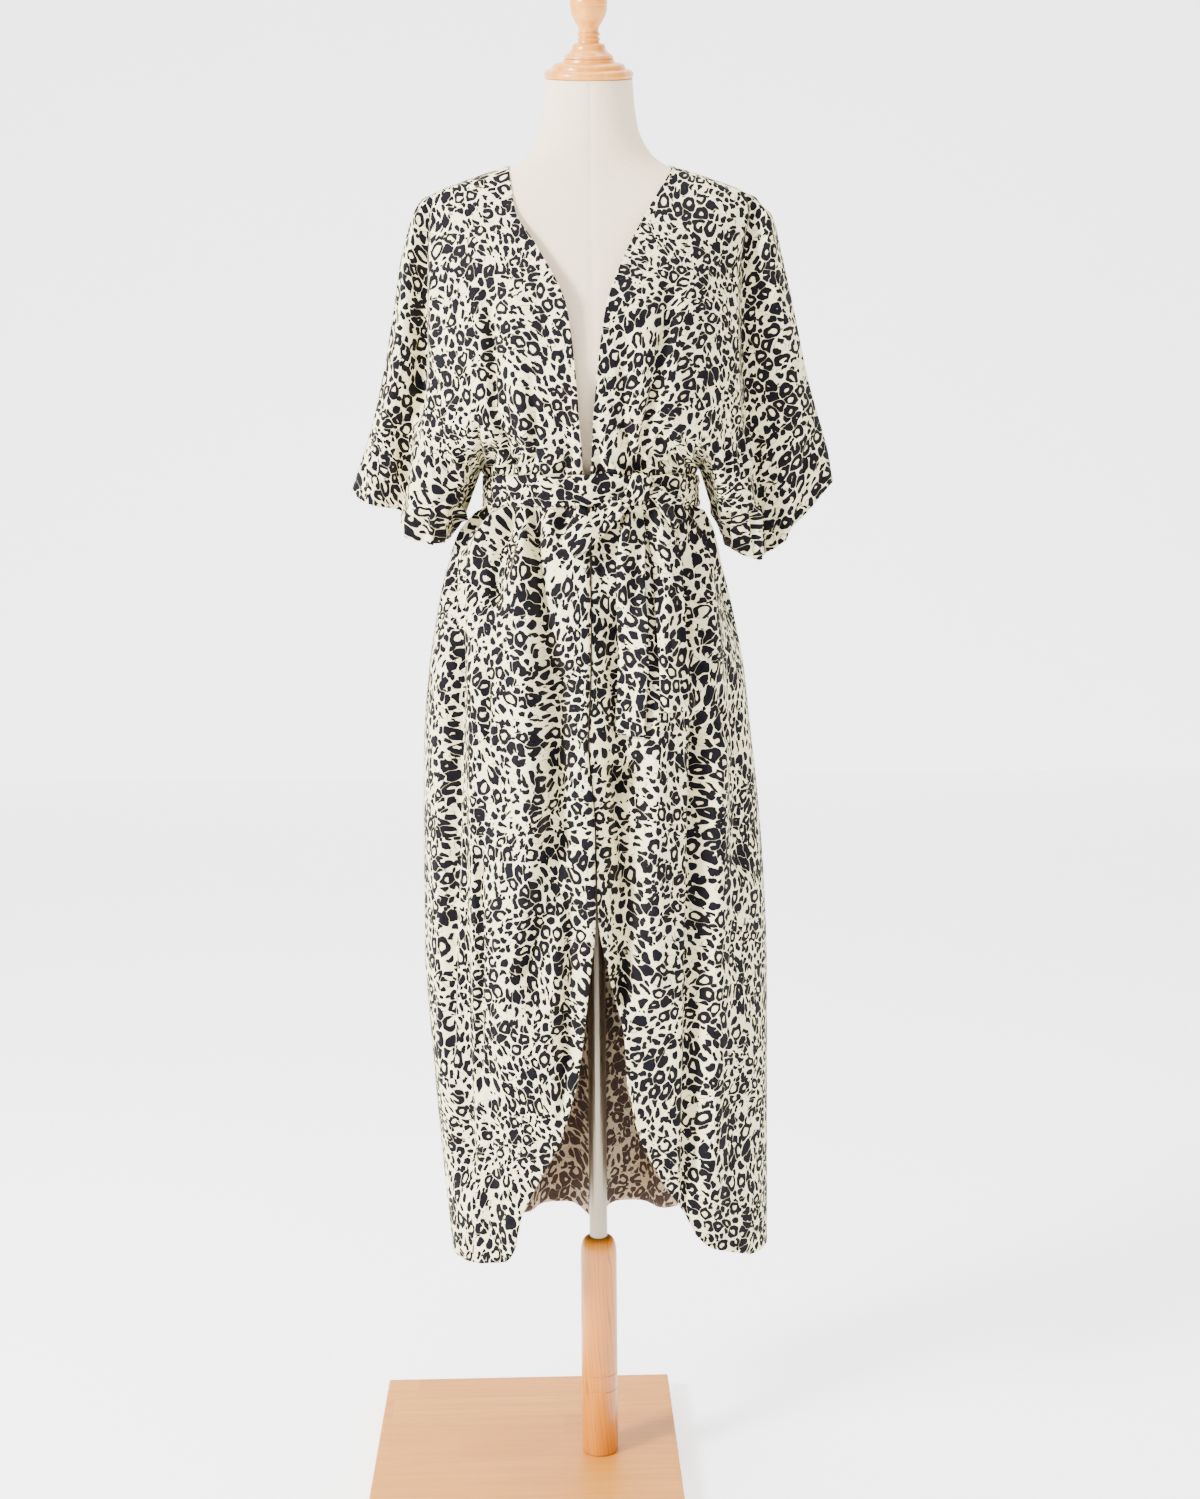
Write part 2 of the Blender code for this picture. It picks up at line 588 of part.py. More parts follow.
def is_seam(row, line):
    """Whether a point lies on a seam to the next panel."""
    top = row == 0 and line >= 0
    overarm = line == 9
    underarm = row == len(ROW_STEPS) - 1 and 3 <= line <= 4
    side = row >= len(ROW_STEPS) and line == 3
    return top or overarm or underarm or side


def shape_panel(points, seams, turns, cells, folds, back, form):
    """Fold the outer points, keep them off the form, and lay the inner face one wall inside."""
    normals = vertex_normals(points, cells)
    for i, point in enumerate(points):
        if not seams[i]:
            push = fold_offset(point[0], point[2], folds)
            points[i] = point + normals[i] * push
    for _ in range(LIFT_ROUNDS):
        points += lift_off(points, cells, form)
        for i, point in enumerate(points):
            if seams[i]:
                point[1] = seam_plane(back)
            elif back:
                point[1] = max(point[1], NEAR_SEAM)
            else:
                point[1] = min(point[1], -NEAR_SEAM)
    normals = vertex_normals(points, cells)
    for i in range(len(points)):
        if turns[i]:
            normals[i] = (0.0, 0.0, -1.0)
        elif seams[i]:
            normals[i][1] = 0.0
            normals[i] /= np.linalg.norm(normals[i])
    return points, points - normals * WALL, normals


def lift_off(points, cells, form):
    """How far each point must move for the wall's inner face to clear the form."""
    inner = points - vertex_normals(points, cells) * WALL
    move = np.zeros_like(points)
    shares = (0.0, 0.25, 0.5, 0.75, 1.0)
    for a, b, c, d in cells:
        for u in shares:
            for v in shares:
                spot = Vector((1 - u) * ((1 - v) * inner[a] + v * inner[b])
                              + u * ((1 - v) * inner[d] + v * inner[c]))
                near, out, _, _ = form.find_nearest(spot)
                short = LIFT - (spot - near).dot(out)
                for i in (a, b, c, d):
                    if short > np.linalg.norm(move[i]):
                        move[i] = np.array(out) * short
    return move


def vertex_normals(points, cells):
    """Outward directions at the points of a sheet."""
    normals = np.zeros_like(points)
    for a, b, c, d in cells:
        across = np.cross(points[c] - points[a], points[d] - points[b])
        for i in (a, b, c, d):
            normals[i] += across
    return normals / np.linalg.norm(normals, axis=1)[:, None]


def sheet_mesh(name, outer, inner, cells):
    """A closed wall between an outer and an inner face."""
    count = len(outer)
    faces = []
    for a, b, c, d in cells:
        if np.linalg.norm(outer[a] - outer[c]) > np.linalg.norm(outer[b] - outer[d]):
            a, b, c, d = b, c, d, a
        faces += [(a, b, c), (a, c, d)]
    faces += [tuple(count + i for i in reversed(face)) for face in faces]
    edges = {(cell[i], cell[(i + 1) % 4]) for cell in cells for i in range(4)}
    for a, b in sorted(edges):
        if (b, a) not in edges:
            faces.append((b, a, count + a, count + b))
    return mesh_from(name, list(outer) + list(inner), faces)


def join_halves(rows_left, columns_left, rows_right, columns_right):
    """One set of rows from the left and right halves of the back, which share a middle line."""
    rows = [list(reversed(left)) + right[1:] for left, right in zip(rows_left, rows_right)]
    return rows, list(reversed(columns_left)) + columns_right[1:]


def number_grid(rows, columns):
    """Points, which of them are seams or turns, cells, and the number of each place."""
    numbers = {}
    points = []
    seams = []
    turns = []
    for r, row in enumerate(rows):
        for c, point in enumerate(row):
            if point is not None:
                numbers[r, c] = len(points)
                points.append(point)
                seams.append(is_seam(r, columns[c]))
                turns.append(is_underarm_top(r, columns[c]))
    cells = []
    for r in range(len(rows) - 1):
        for c in range(len(columns) - 1):
            corners = [(r, c), (r + 1, c), (r + 1, c + 1), (r, c + 1)]
            if all(corner in numbers for corner in corners):
                cells.append(tuple(numbers[corner] for corner in corners))
    return np.array(points, float), seams, turns, cells, numbers


def make_panel(name, rows, columns, back, folds, form, surface):
    """One cut piece of the coat. Returns its outer points at the belt, with their directions."""
    points, seams, turns, cells, numbers = number_grid(rows, columns)
    a, b, c, _ = (points[i] for i in cells[len(cells) // 2])
    outward = np.cross(b - a, c - a)
    if (outward[1] > 0) != back:
        cells = [tuple(reversed(cell)) for cell in cells]
    outer, inner, normals = shape_panel(points, seams, turns, cells, folds, back, form)
    place(name, sheet_mesh(name, outer, inner, cells), surface, 60)
    belt = []
    for c in range(len(columns)):
        belt.append([])
        for z in (BELT_BOTTOM, BELT_MIDDLE, BELT_TOP):
            r = len(ROW_STEPS) + SKIRT_ROWS.index(z)
            if (r, c) in numbers:
                i = numbers[r, c]
                belt[-1].append((outer[i], normals[i]))
    return [column for column in belt if column]


def make_coat(form):
    """Both fronts and the back. Returns the ring of belt points, all round."""
    cloth = material("printed_crepe", (0.80, 0.76, 0.63), 0.75)
    rows_l, columns_l = panel_grid(-1, False)
    rows_r, columns_r = panel_grid(1, False)
    left = make_panel("coat_front_right", rows_l, columns_l, False, FRONT_FOLDS, form, cloth)
    right = make_panel("coat_front_left", rows_r, columns_r, False, FRONT_FOLDS, form, cloth)
    back_l, back_columns_l = panel_grid(-1, True)
    back_r, back_columns_r = panel_grid(1, True)
    rows, columns = join_halves(back_l, back_columns_l, back_r, back_columns_r)
    behind = make_panel("coat_back", rows, columns, True, BACK_FOLDS, form, cloth)
    return left[::-1][:-1] + left[:1] + right + behind[::-1][1:-1]


# The sash

def make_band(belt, surface):
    """The band round the waist, laid on the coat's own points."""
    rings = []
    for level in range(3):
        rings.append([column[level][0] + column[level][1] * BELT_GAP for column in belt])
    outer = []
    for level in range(3):
        lift = BELT_GAP + BELT_THICK
        outer.append([column[level][0] + column[level][1] * lift for column in belt])
    count = len(belt)
    loop = outer + rings[::-1]
    vertices = [point for ring in loop for point in ring]
    faces = []
    for level in range(len(loop)):
        for i in range(count):
            here = level * count
            above = (level + 1) % len(loop) * count
            nxt = (i + 1) % count
            faces.append((here + i, here + nxt, above + nxt, above + i))
    place("sash_band", mesh_from("sash_band", vertices, faces), surface, 50)


def scene_tree(names):
    """A search tree of the named objects' faces."""
    vertices = []
    polygons = []
    for name in names:
        mesh = bpy.data.objects[name].data
        start = len(vertices)
        vertices += [vertex.co.copy() for vertex in mesh.vertices]
        polygons += [[start + i for i in polygon.vertices] for polygon in mesh.polygons]
    return BVHTree.FromPolygons(vertices, polygons)


def front_of(tree, x, z):
    """The y of the foremost cloth at a place of the front view."""
    spot, _, _, _ = tree.ray_cast(Vector((x, -1.0, z)), Vector((0.0, 1.0, 0.0)))
    return spot.y if spot else 0.0


def lay_knot(knot, others):
    """Move the knot back until it lies one seat from the named pieces behind it."""
    behind = scene_tree(others)
    back = Vector((0.0, 1.0, 0.0))
    hits = [behind.ray_cast(vertex.co, back)[3] for vertex in knot.data.vertices]
    step = min(hit for hit in hits if hit is not None) - SEAT
    for vertex in knot.data.vertices:
        vertex.co += back * step


def reach_knot(name, ring, direction):
    """Lengthen one end of a strip along a direction until it lies one seat from the knot."""
    vertices = bpy.data.objects[name].data.vertices
    run = Vector(direction)
    knot = scene_tree(["sash_knot"])
    corners = [vertices[i].co.copy() for i in ring]
    edges = list(zip(corners, corners[1:] + corners[:1]))
    spots = [a.lerp(b, t) for a, b in edges for t in (0.0, 0.25, 0.5, 0.75)]
    hits = [knot.ray_cast(spot, run)[3] for spot in spots]
    step = min(hit for hit in hits if hit is not None) - SEAT
    for i in ring:
        vertices[i].co += run * step


def ribbon_mesh(name, middle, across, widths, thick):
    """A flat strip along a line of points, its width along the given directions."""
    rings = []
    for i, (point, width) in enumerate(zip(middle, widths)):
        before = middle[max(i - 1, 0)]
        after = middle[min(i + 1, len(middle) - 1)]
        side = across[i].normalized() * (width / 2)
        face = (after - before).cross(across[i]).normalized() * (thick / 2)
        rings.append([point - side - face, point + side - face, point + side + face,
                      point - side + face])
    return closed_stack(name, rings)


def resting_line(tree, route, across, widths, start_y):
    """A strip's middle line, just in front of all the cloth behind its width."""
    along = np.linspace(0, len(route) - 1, len(widths))
    xs = smooth_curve(range(len(route)), [p[0] for p in route], along)
    zs = smooth_curve(range(len(route)), [p[1] for p in route], along)
    line = [Vector((float(x), front_of(tree, x, z) - REST_CLEAR, float(z))) for x, z in zip(xs, zs)]
    line[0].y = min(line[0].y, start_y)
    for _ in range(REST_ROUNDS):
        for here, nxt, width, next_width in zip(line, line[1:], widths, widths[1:]):
            for t in (0.0, 0.25, 0.5, 0.75, 1.0):
                spot = here.lerp(nxt, t)
                reach = across * (width + (next_width - width) * t)
                edges = [spot + reach * share for share in np.linspace(-0.53, 0.53, 9)]
                short = spot.y - (min(front_of(tree, edge.x, edge.z) for edge in edges) - REST_CLEAR)
                if short > 0:
                    here.y -= short * (1 - t)
                    nxt.y -= short * t
    return line


def make_tail(name, tree, route, knot_y, surface):
    """One hanging end of the sash."""
    across = Vector((1.0, 0.0, 0.0))
    widths = [TAIL_WIDTH * (1 - TAIL_PINCH * max(0.0, 1 - i / 3)) for i in range(TAIL_ROWS)]
    line = resting_line(tree, route, across, widths, knot_y)
    mesh = ribbon_mesh(name, line, [across] * len(line), widths, RIBBON)
    place(name, mesh, surface, 50)
    reach_knot(name, range(4), (0.0, 0.0, 1.0))


def make_loop(name, tree, route, towards_knot, knot_y, surface):
    """One loop of the bow: the strip runs out behind and back in front."""
    run = Vector((route[-1][0] - route[0][0], 0.0, route[-1][1] - route[0][1])).normalized()
    across = Vector((-run.z, 0.0, run.x))
    spread = [LOOP_WIDTH * (1 - LOOP_PINCH * max(0.0, 1 - i / 2)) for i in range(LOOP_ROWS)]
    behind = resting_line(tree, route, across, spread, knot_y + LOOP_OPEN / 2)
    tip = behind[-1]
    turn = [tip + run * ahead + Vector((0.0, -LOOP_OPEN * share, 0.0)) for ahead, share in LOOP_TURN]
    front = [point + Vector((0.0, -LOOP_OPEN, 0.0)) for point in reversed(behind)]
    line = behind + turn + front
    widths = spread + [LOOP_WIDTH] * len(turn) + spread[::-1]
    mesh = ribbon_mesh(name, line, [across] * len(line), widths, RIBBON)
    place(name, mesh, surface, 50)
    last = 4 * len(line)
    for ring in (range(4), range(last - 4, last)):
        reach_knot(name, ring, (towards_knot, 0.0, 0.0))


def make_knot(surface):
    """The wrap of the knot, a rounded lump on the band. Returns the y of its middle."""
    x, z = KNOT
    mesh = bpy.data.meshes.new("sash_knot")
    shape = bmesh.new()
    bmesh.ops.create_uvsphere(shape, u_segments=16, v_segments=10, radius=1.0)
    bmesh.ops.scale(shape, verts=shape.verts, vec=KNOT_SIZE)
    bmesh.ops.rotate(
        shape, verts=shape.verts, matrix=Vector((0, 1, 0)).rotation_difference(
            Vector((-0.18, 1, 0))).to_matrix()
    )
    bmesh.ops.translate(shape, verts=shape.verts, vec=(x, -2 * BASE_HALF_DEPTH, z))
    shape.to_mesh(mesh)
    shape.free()
    lay_knot(place("sash_knot", mesh, surface), ["sash_band", "coat_front_left"])
    return sum(vertex.co.y for vertex in mesh.vertices) / len(mesh.vertices)


def make_sash(belt):
    """Band, knot, two loops and two tails."""
    cloth = material("printed_sash", (0.78, 0.74, 0.61), 0.75)
    make_band(belt, cloth)
    knot_y = make_knot(cloth)
    names = ["coat_front_right", "coat_front_left", "sash_band"]
    make_tail("sash_tail_short", scene_tree(names), TAIL_SHORT, knot_y, cloth)
    names.append("sash_tail_short")
    make_tail("sash_tail_long", scene_tree(names), TAIL_LONG, knot_y, cloth)
    names.append("sash_tail_long")
    make_loop("sash_loop_right", scene_tree(names), LOOP_LEFT, 1.0, knot_y, cloth)
    make_loop("sash_loop_left", scene_tree(names), LOOP_RIGHT, -1.0, knot_y, cloth)


def build():
    """The whole part."""
    clear_scene()
    make_torso()
    make_neck_wood()
    make_stand()
    form = scene_tree(["form_torso"])
    belt = make_coat(form)
    make_sash(belt)


build()
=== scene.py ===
"""A leopard print kimono coat on its linen dress form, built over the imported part.

Single values are in metres and rows of tables in millimetres, unless a comment says otherwise.
+X is the right of the front view, -Y is the front, +Z is up, and the floor is z = 0. Tables say
left and right as in the front view; a piece named left or right is the wearer's.
"""
from collections import namedtuple
import math

import bpy
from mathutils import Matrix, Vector
from mathutils.bvhtree import BVHTree
import numpy as np


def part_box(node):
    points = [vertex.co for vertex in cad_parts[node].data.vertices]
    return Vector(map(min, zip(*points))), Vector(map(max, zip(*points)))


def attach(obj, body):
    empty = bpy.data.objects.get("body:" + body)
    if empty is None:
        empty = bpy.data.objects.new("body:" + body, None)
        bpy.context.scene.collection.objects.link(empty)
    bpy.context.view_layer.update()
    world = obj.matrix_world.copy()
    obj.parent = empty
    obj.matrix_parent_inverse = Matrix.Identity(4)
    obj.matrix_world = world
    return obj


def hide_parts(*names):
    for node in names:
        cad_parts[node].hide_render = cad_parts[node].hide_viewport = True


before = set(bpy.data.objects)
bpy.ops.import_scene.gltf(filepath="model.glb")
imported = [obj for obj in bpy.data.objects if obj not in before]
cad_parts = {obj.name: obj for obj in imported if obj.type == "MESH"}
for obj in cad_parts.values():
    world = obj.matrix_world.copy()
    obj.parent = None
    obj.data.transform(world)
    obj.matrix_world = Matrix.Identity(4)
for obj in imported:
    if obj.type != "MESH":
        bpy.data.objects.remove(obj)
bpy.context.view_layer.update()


# ---- Base plate ------------------------------------------------------------------------------
# A board edge-glued from beech staves that run left to right, sanded, rounded over and oiled.
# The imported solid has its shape, so it stays and only takes its finish here.

def linear(code):
    """A screen colour such as "#E2BD93" in linear light."""
    parts = [int(code[i:i + 2], 16) / 255 for i in (1, 3, 5)]
    return [c / 12.92 if c <= 0.04045 else ((c + 0.055) / 1.055) ** 2.4 for c in parts] + [1.0]


def add(tree, kind, links, **settings):
    """Add one shader node, "Kind" or "Kind OPERATION", with its links, and return its outputs."""
    kind, *action = kind.split()
    item = tree.nodes.new("ShaderNode" + kind)
    if action:
        item.operation = action[0]
    for name, value in settings.items():
        setattr(item, name, value)
    for name, value in links.items():
        if isinstance(value, bpy.types.NodeSocket):
            tree.links.new(value, item.inputs[name])
        else:
            item.inputs[name].default_value = value
    return item.outputs


def new_finish(name, roughness):
    """An empty material: itself, its nodes and its shader."""
    finish = bpy.data.materials.new(name)
    finish.use_nodes = True
    shader = finish.node_tree.nodes["Principled BSDF"]
    shader.inputs["Roughness"].default_value = roughness
    return finish, finish.node_tree, shader


def streaks(tree, place, stretch, detail):
    """The streaks of a grain, a weave or a brushed face: noise drawn out along the piece."""
    run = add(tree, "VectorMath MULTIPLY", {0: place, 1: stretch})[0]
    return add(tree, "TexNoise", {"Vector": run, "Scale": 1.0, "Detail": detail})[0]


def wear(node, finish):
    """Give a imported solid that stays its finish."""
    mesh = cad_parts[node].data
    mesh.materials.clear()
    mesh.materials.append(finish)


# Pale staves of slightly different tone, with long soft grain, short brown flecks and thin
# glue lines; the oil leaves a low sheen that the grain breaks up.
STAVE = 0.054
BLOCK = 0.310
oiled_beech, tree, shader = new_finish("oiled_beech", 0.48)
place = add(tree, "TexCoord", {})["Object"]
at = add(tree, "SeparateXYZ", {0: place})
stave = add(tree, "Math MULTIPLY_ADD", {0: at[1], 1: 1 / STAVE, 2: 0.3})[0]
row = add(tree, "Math FLOOR", {0: stave})[0]
start = add(tree, "TexWhiteNoise", {"W": row}, noise_dimensions="1D")[0]
block = add(tree, "Math MULTIPLY_ADD", {0: at[0], 1: 1 / BLOCK, 2: start})[0]
block = add(tree, "Math FLOOR", {0: block})[0]
piece_of_wood = add(tree, "CombineXYZ", {0: row, 1: block})[0]
tone = add(tree, "TexWhiteNoise", {"Vector": piece_of_wood}, noise_dimensions="2D")
long = add(tree, "VectorMath MULTIPLY", {0: place, 1: (7.0, 150.0, 60.0)})[0]
long = add(tree, "VectorMath MULTIPLY_ADD", {0: tone[1], 1: (40.0, 40.0, 40.0), 2: long})[0]
grain = add(tree, "TexNoise", {"Vector": long, "Scale": 1.0, "Detail": 4.0})[0]
fleck = streaks(tree, place, (70.0, 900.0, 500.0), 1.0)
wood = add(tree, "Mix", {0: tone[0], 6: linear("#D98C12"), 7: linear("#CC7C0C")},
           data_type="RGBA")[2]
streak = add(tree, "MapRange", {0: grain, 1: 0.42, 2: 0.72, 3: 0.0, 4: 0.55})[0]
wood = add(tree, "Mix", {0: streak, 6: wood, 7: linear("#B47834")}, data_type="RGBA")[2]
spots = add(tree, "MapRange", {0: fleck, 1: 0.66, 2: 0.76, 3: 0.0, 4: 0.45})[0]
wood = add(tree, "Mix", {0: spots, 6: wood, 7: linear("#87552B")}, data_type="RGBA")[2]
joint = add(tree, "Math PINGPONG", {0: stave, 1: 0.5})[0]
joint = add(tree, "MapRange", {0: joint, 1: 0.0, 2: 0.012, 3: 0.4, 4: 0.0})[0]
wood = add(tree, "Mix", {0: joint, 6: wood, 7: linear("#94683C")}, data_type="RGBA")[2]
tree.links.new(wood, shader.inputs["Base Color"])
rough = add(tree, "MapRange", {0: grain, 1: 0.3, 2: 0.7, 3: 0.42, 4: 0.58})[0]
tree.links.new(rough, shader.inputs["Roughness"])
relief = add(tree, "Bump", {"Strength": 0.25, "Distance": 0.0004, "Height": grain})[0]
tree.links.new(relief, shader.inputs["Normal"])
wear("stand_base", oiled_beech)


# ---- Post ------------------------------------------------------------------------------------
# A turned and lacquered wooden post with two scored rings and a domed top that holds the tube.
# It is screwed to the plate from below.

def turn_wood(name, rows, sides, foot, tilt=0.0):
    """A turned piece: a disc drawn up through rows of radius and height in mm, stood in place."""
    bpy.ops.object.select_all(action="DESELECT")
    rows = [(radius / 1000, height / 1000) for radius, height in rows]
    radius, height = rows[0]
    bpy.ops.mesh.primitive_circle_add(
        vertices=sides, radius=radius, fill_type="NGON", location=(0.0, 0.0, height)
    )
    piece = bpy.context.object
    piece.name = name
    bpy.ops.object.transform_apply(location=True, rotation=True, scale=True)
    bpy.ops.object.mode_set(mode="EDIT")
    bpy.ops.mesh.select_all(action="SELECT")
    for next_radius, next_height in rows[1:]:
        rise = (0.0, 0.0, next_height - height)
        bpy.ops.mesh.extrude_region_move(TRANSFORM_OT_translate={"value": rise})
        wider, middle = next_radius / radius, (0.0, 0.0, next_height)
        bpy.ops.transform.resize(value=(wider, wider, 1.0), center_override=middle)
        radius, height = next_radius, next_height
    bpy.ops.mesh.select_all(action="SELECT")
    bpy.ops.mesh.normals_make_consistent(inside=False)
    bpy.ops.object.mode_set(mode="OBJECT")
    piece.rotation_euler = (tilt, 0.0, 0.0)
    piece.location = foot
    bpy.ops.object.transform_apply(location=True, rotation=True, scale=True)
    bpy.ops.object.shade_smooth_by_angle(angle=math.radians(40))
    return piece


GAP = 0.0003
BASE_THICK = 0.025
# The post and its scored rings, in millimetres
POST_RADIUS = 23.0
RINGS_UP = (85.7, 107.2)
RING_DEEP = 0.7
RING_HALF = 0.9
rows = [(21.8, 0), (22.4, 0.5), (22.8, 1.6), (POST_RADIUS, 3)]
for ring in RINGS_UP:
    rows += [(POST_RADIUS, ring - RING_HALF), (POST_RADIUS - RING_DEEP, ring - RING_HALF / 3),
             (POST_RADIUS - RING_DEEP, ring + RING_HALF / 3), (POST_RADIUS, ring + RING_HALF)]
rows += [(POST_RADIUS, 150), (POST_RADIUS, 260), (22.9, 265), (22.6, 270), (22, 274),
         (21.1, 277.5), (19.8, 280.5), (18.2, 282.8), (16.4, 284.3), (14.5, 285.2), (12.8, 285.6),
         (11.8, 285.7)]
post = turn_wood("turned_post", rows, 72, (0.0, 0.0, BASE_THICK + GAP))

# Honey coloured wood whose growth lines run up the post, a little askew, thin and brown between
# paler bands; the lacquer gives a soft highlight.
lacquered_post, tree, shader = new_finish("lacquered_post", 0.36)
place = add(tree, "TexCoord", {})["Object"]
lean = add(tree, "VectorRotate", {"Vector": place, "Angle": math.radians(4)},
           rotation_type="Y_AXIS")[0]
drift = streaks(tree, lean, (60.0, 60.0, 5.0), 2.0)
across = add(tree, "SeparateXYZ", {0: lean})
line = add(tree, "Math MULTIPLY_ADD", {0: across[0], 1: 190.0, 2: drift})[0]
line = add(tree, "Math MULTIPLY_ADD", {0: drift, 1: 2.2, 2: line})[0]
line = add(tree, "Math PINGPONG", {0: line, 1: 0.5})[0]
line = add(tree, "MapRange", {0: line, 1: 0.0, 2: 0.11, 3: 0.62, 4: 0.0},
           interpolation_type="SMOOTHSTEP")[0]
fibre = streaks(tree, lean, (900.0, 900.0, 14.0), 2.0)
wood = add(tree, "Mix", {0: drift, 6: linear("#D88600"), 7: linear("#C46E00")},
           data_type="RGBA")[2]
wood = add(tree, "Mix", {0: line, 6: wood, 7: linear("#7F4A15")}, data_type="RGBA")[2]
fibres = add(tree, "MapRange", {0: fibre, 1: 0.45, 2: 0.75, 3: 0.0, 4: 0.35})[0]
wood = add(tree, "Mix", {0: fibres, 6: wood, 7: linear("#A9692A")}, data_type="RGBA")[2]
tree.links.new(wood, shader.inputs["Base Color"])
relief = add(tree, "Bump", {"Strength": 0.15, "Distance": 0.0002, "Height": fibre})[0]
tree.links.new(relief, shader.inputs["Normal"])
shader.inputs["Coat Weight"].default_value = 0.25
post.data.materials.append(lacquered_post)
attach(post, "root")
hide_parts("stand_post")


# ---- Tube ------------------------------------------------------------------------------------
# A straight length of steel tube, finely ground along its length and satin plated. The packed
# solid has its shape and stays.
satin_steel, tree, shader = new_finish("satin_steel", 0.34)
place = add(tree, "TexCoord", {})["Object"]
scratch = streaks(tree, place, (2600.0, 2600.0, 30.0), 2.0)
plate = add(tree, "Mix", {0: scratch, 6: linear("#857A6A"), 7: linear("#9A8F80")},
            data_type="RGBA")[2]
tree.links.new(plate, shader.inputs["Base Color"])
rough = add(tree, "MapRange", {0: scratch, 1: 0.3, 2: 0.7, 3: 0.26, 4: 0.42})[0]
tree.links.new(rough, shader.inputs["Roughness"])
shader.inputs["Metallic"].default_value = 1.0
wear("stand_tube", satin_steel)


# ---- Torso -----------------------------------------------------------------------------------
# A padded papier mache body covered in unbleached linen, sewn up the middle of the front and the
# back and along both sides, with a seam round the neck. Limbless, open to nothing.
def metres(rows):
    """Rows of millimetres in metres."""
    return np.array(rows) / 1000


def measured(kind, rows):
    """Rows of millimetres as named rows in metres. Powers and line numbers stay as they are."""
    return [kind(*(value if name in ("power", "line") else value / 1000
                   for name, value in zip(kind._fields, row))) for row in rows]


Ring = namedtuple("Ring", "z half_x front back power")
TORSO = measured(Ring, (
    (945, 150, 98, 104, 2.3), (951, 157, 106, 110, 2.3), (965, 161, 110, 114, 2.3),
    (1020, 163, 111, 116, 2.3), (1070, 158, 108, 112, 2.3), (1125, 144, 100, 102, 2.3),
    (1185, 124, 92, 90, 2.2), (1246, 113, 86, 77, 2.2), (1300, 121, 99, 82, 2.2),
    (1345, 132, 118, 89, 2.2), (1380, 139, 125, 93, 2.2), (1420, 144, 117, 97, 2.2),
    (1470, 155, 98, 99, 2.2), (1520, 173, 78, 93, 2.1), (1550, 182, 66, 84, 2),
    (1570, 183.5, 59, 76, 1.9), (1583, 180, 54, 69, 1.8), (1593, 170, 51, 63, 1.7),
    (1603, 147, 49, 59, 1.7), (1613, 119, 48, 57, 1.8), (1620.5, 94, 47.5, 56, 1.9),
    (1631, 77, 48, 55, 2), (1645, 66, 48.5, 54.5, 2), (1663, 57.8, 49, 54, 2),
    (1690, 53.2, 50, 53.5, 2),
))
NECK_TOP = 1.7215
NECK_TILT = math.radians(15)
NECK_TAPER = 0.96
NECK_SEAM = 1.6285
TORSO_SIDES = 112
TORSO_STEP = 0.006
SEAM_DEEP = 0.0007
SEAM_WIDE = 0.0022


def smooth_curve(knots, values, at):
    """A smooth curve through the values, by rows, that never swings past them."""
    knots = np.asarray(knots, float)
    values = np.asarray(values, float)
    at = np.clip(np.asarray(at, float), knots[0], knots[-1])
    more = (1,) * (values.ndim - 1)
    step = np.diff(knots).reshape((-1,) + more)
    rise = np.diff(values, axis=0) / step
    both = rise[:-1] * rise[1:]
    total = np.where(both > 0, rise[:-1] + rise[1:], 1.0)
    slope = np.concatenate([rise[:1], np.where(both > 0, 2 * both / total, 0.0), rise[-1:]])
    i = np.clip(np.searchsorted(knots, at, side="right") - 1, 0, len(step) - 1)
    t = ((at - knots[i]) / np.diff(knots)[i]).reshape(at.shape + more)
    start = values[i] * (1 + 2 * t) * (1 - t) ** 2 + slope[i] * step[i] * t * (1 - t) ** 2
    return start + values[i + 1] * t * t * (3 - 2 * t) - slope[i + 1] * step[i] * t * t * (1 - t)


def by_height(table, field, z):
    """A named column of a table, read at a height."""
    rows = sorted(table, key=lambda row: row.z)
    return smooth_curve([row.z for row in rows], [getattr(row, field) for row in rows], z)


def oval(angle, half_x, depth, power):
    """Points of a squarish oval, the angle counted from straight ahead."""
    across = np.sign(np.sin(angle)) * np.abs(np.sin(angle)) ** (2 / power)
    ahead = np.sign(np.cos(angle)) * np.abs(np.cos(angle)) ** (2 / power)
    return half_x * across, depth * ahead


def put_mesh(name, points, faces):
    """A mesh object in the scene, smoothly shaded."""
    mesh = bpy.data.meshes.new(name)
    mesh.from_pydata(np.asarray(points).tolist(), [], [list(map(int, face)) for face in faces])
    mesh.shade_smooth()
    piece = bpy.data.objects.new(name, mesh)
    bpy.context.scene.collection.objects.link(piece)
    return piece


low, high = TORSO[0].z, TORSO[-1].z
foot_heights = [low, 0.948, 0.951, 0.957]
heights = np.concatenate([foot_heights, np.arange(0.965, high, TORSO_STEP), [high]])
angles = np.linspace(0, 2 * np.pi, TORSO_SIDES, endpoint=False)
seam_angles = [k * np.pi / 2 + d for k in range(4) for d in (-0.012, 0.012)]
angles = np.sort(np.concatenate([angles, seam_angles]))
rings = []
for z in heights:
    ahead_now = np.cos(angles) > 0
    depth = np.where(ahead_now, by_height(TORSO, "front", z), by_height(TORSO, "back", z))
    x, ahead = oval(angles, by_height(TORSO, "half_x", z), depth, by_height(TORSO, "power", z))
    spread = np.hypot(x, ahead)
    near = np.minimum(np.abs(x), np.where(np.abs(x) > 0.03, np.abs(ahead), 1.0))
    sunk = SEAM_DEEP * np.exp(-(near / SEAM_WIDE) ** 2)
    sunk = sunk + SEAM_DEEP * math.exp(-((z - NECK_SEAM) / SEAM_WIDE) ** 2)
    left = 1 - sunk / spread
    rings.append(np.stack([x * left, -ahead * left, np.full_like(x, z)], axis=1))
neck = rings[-1]
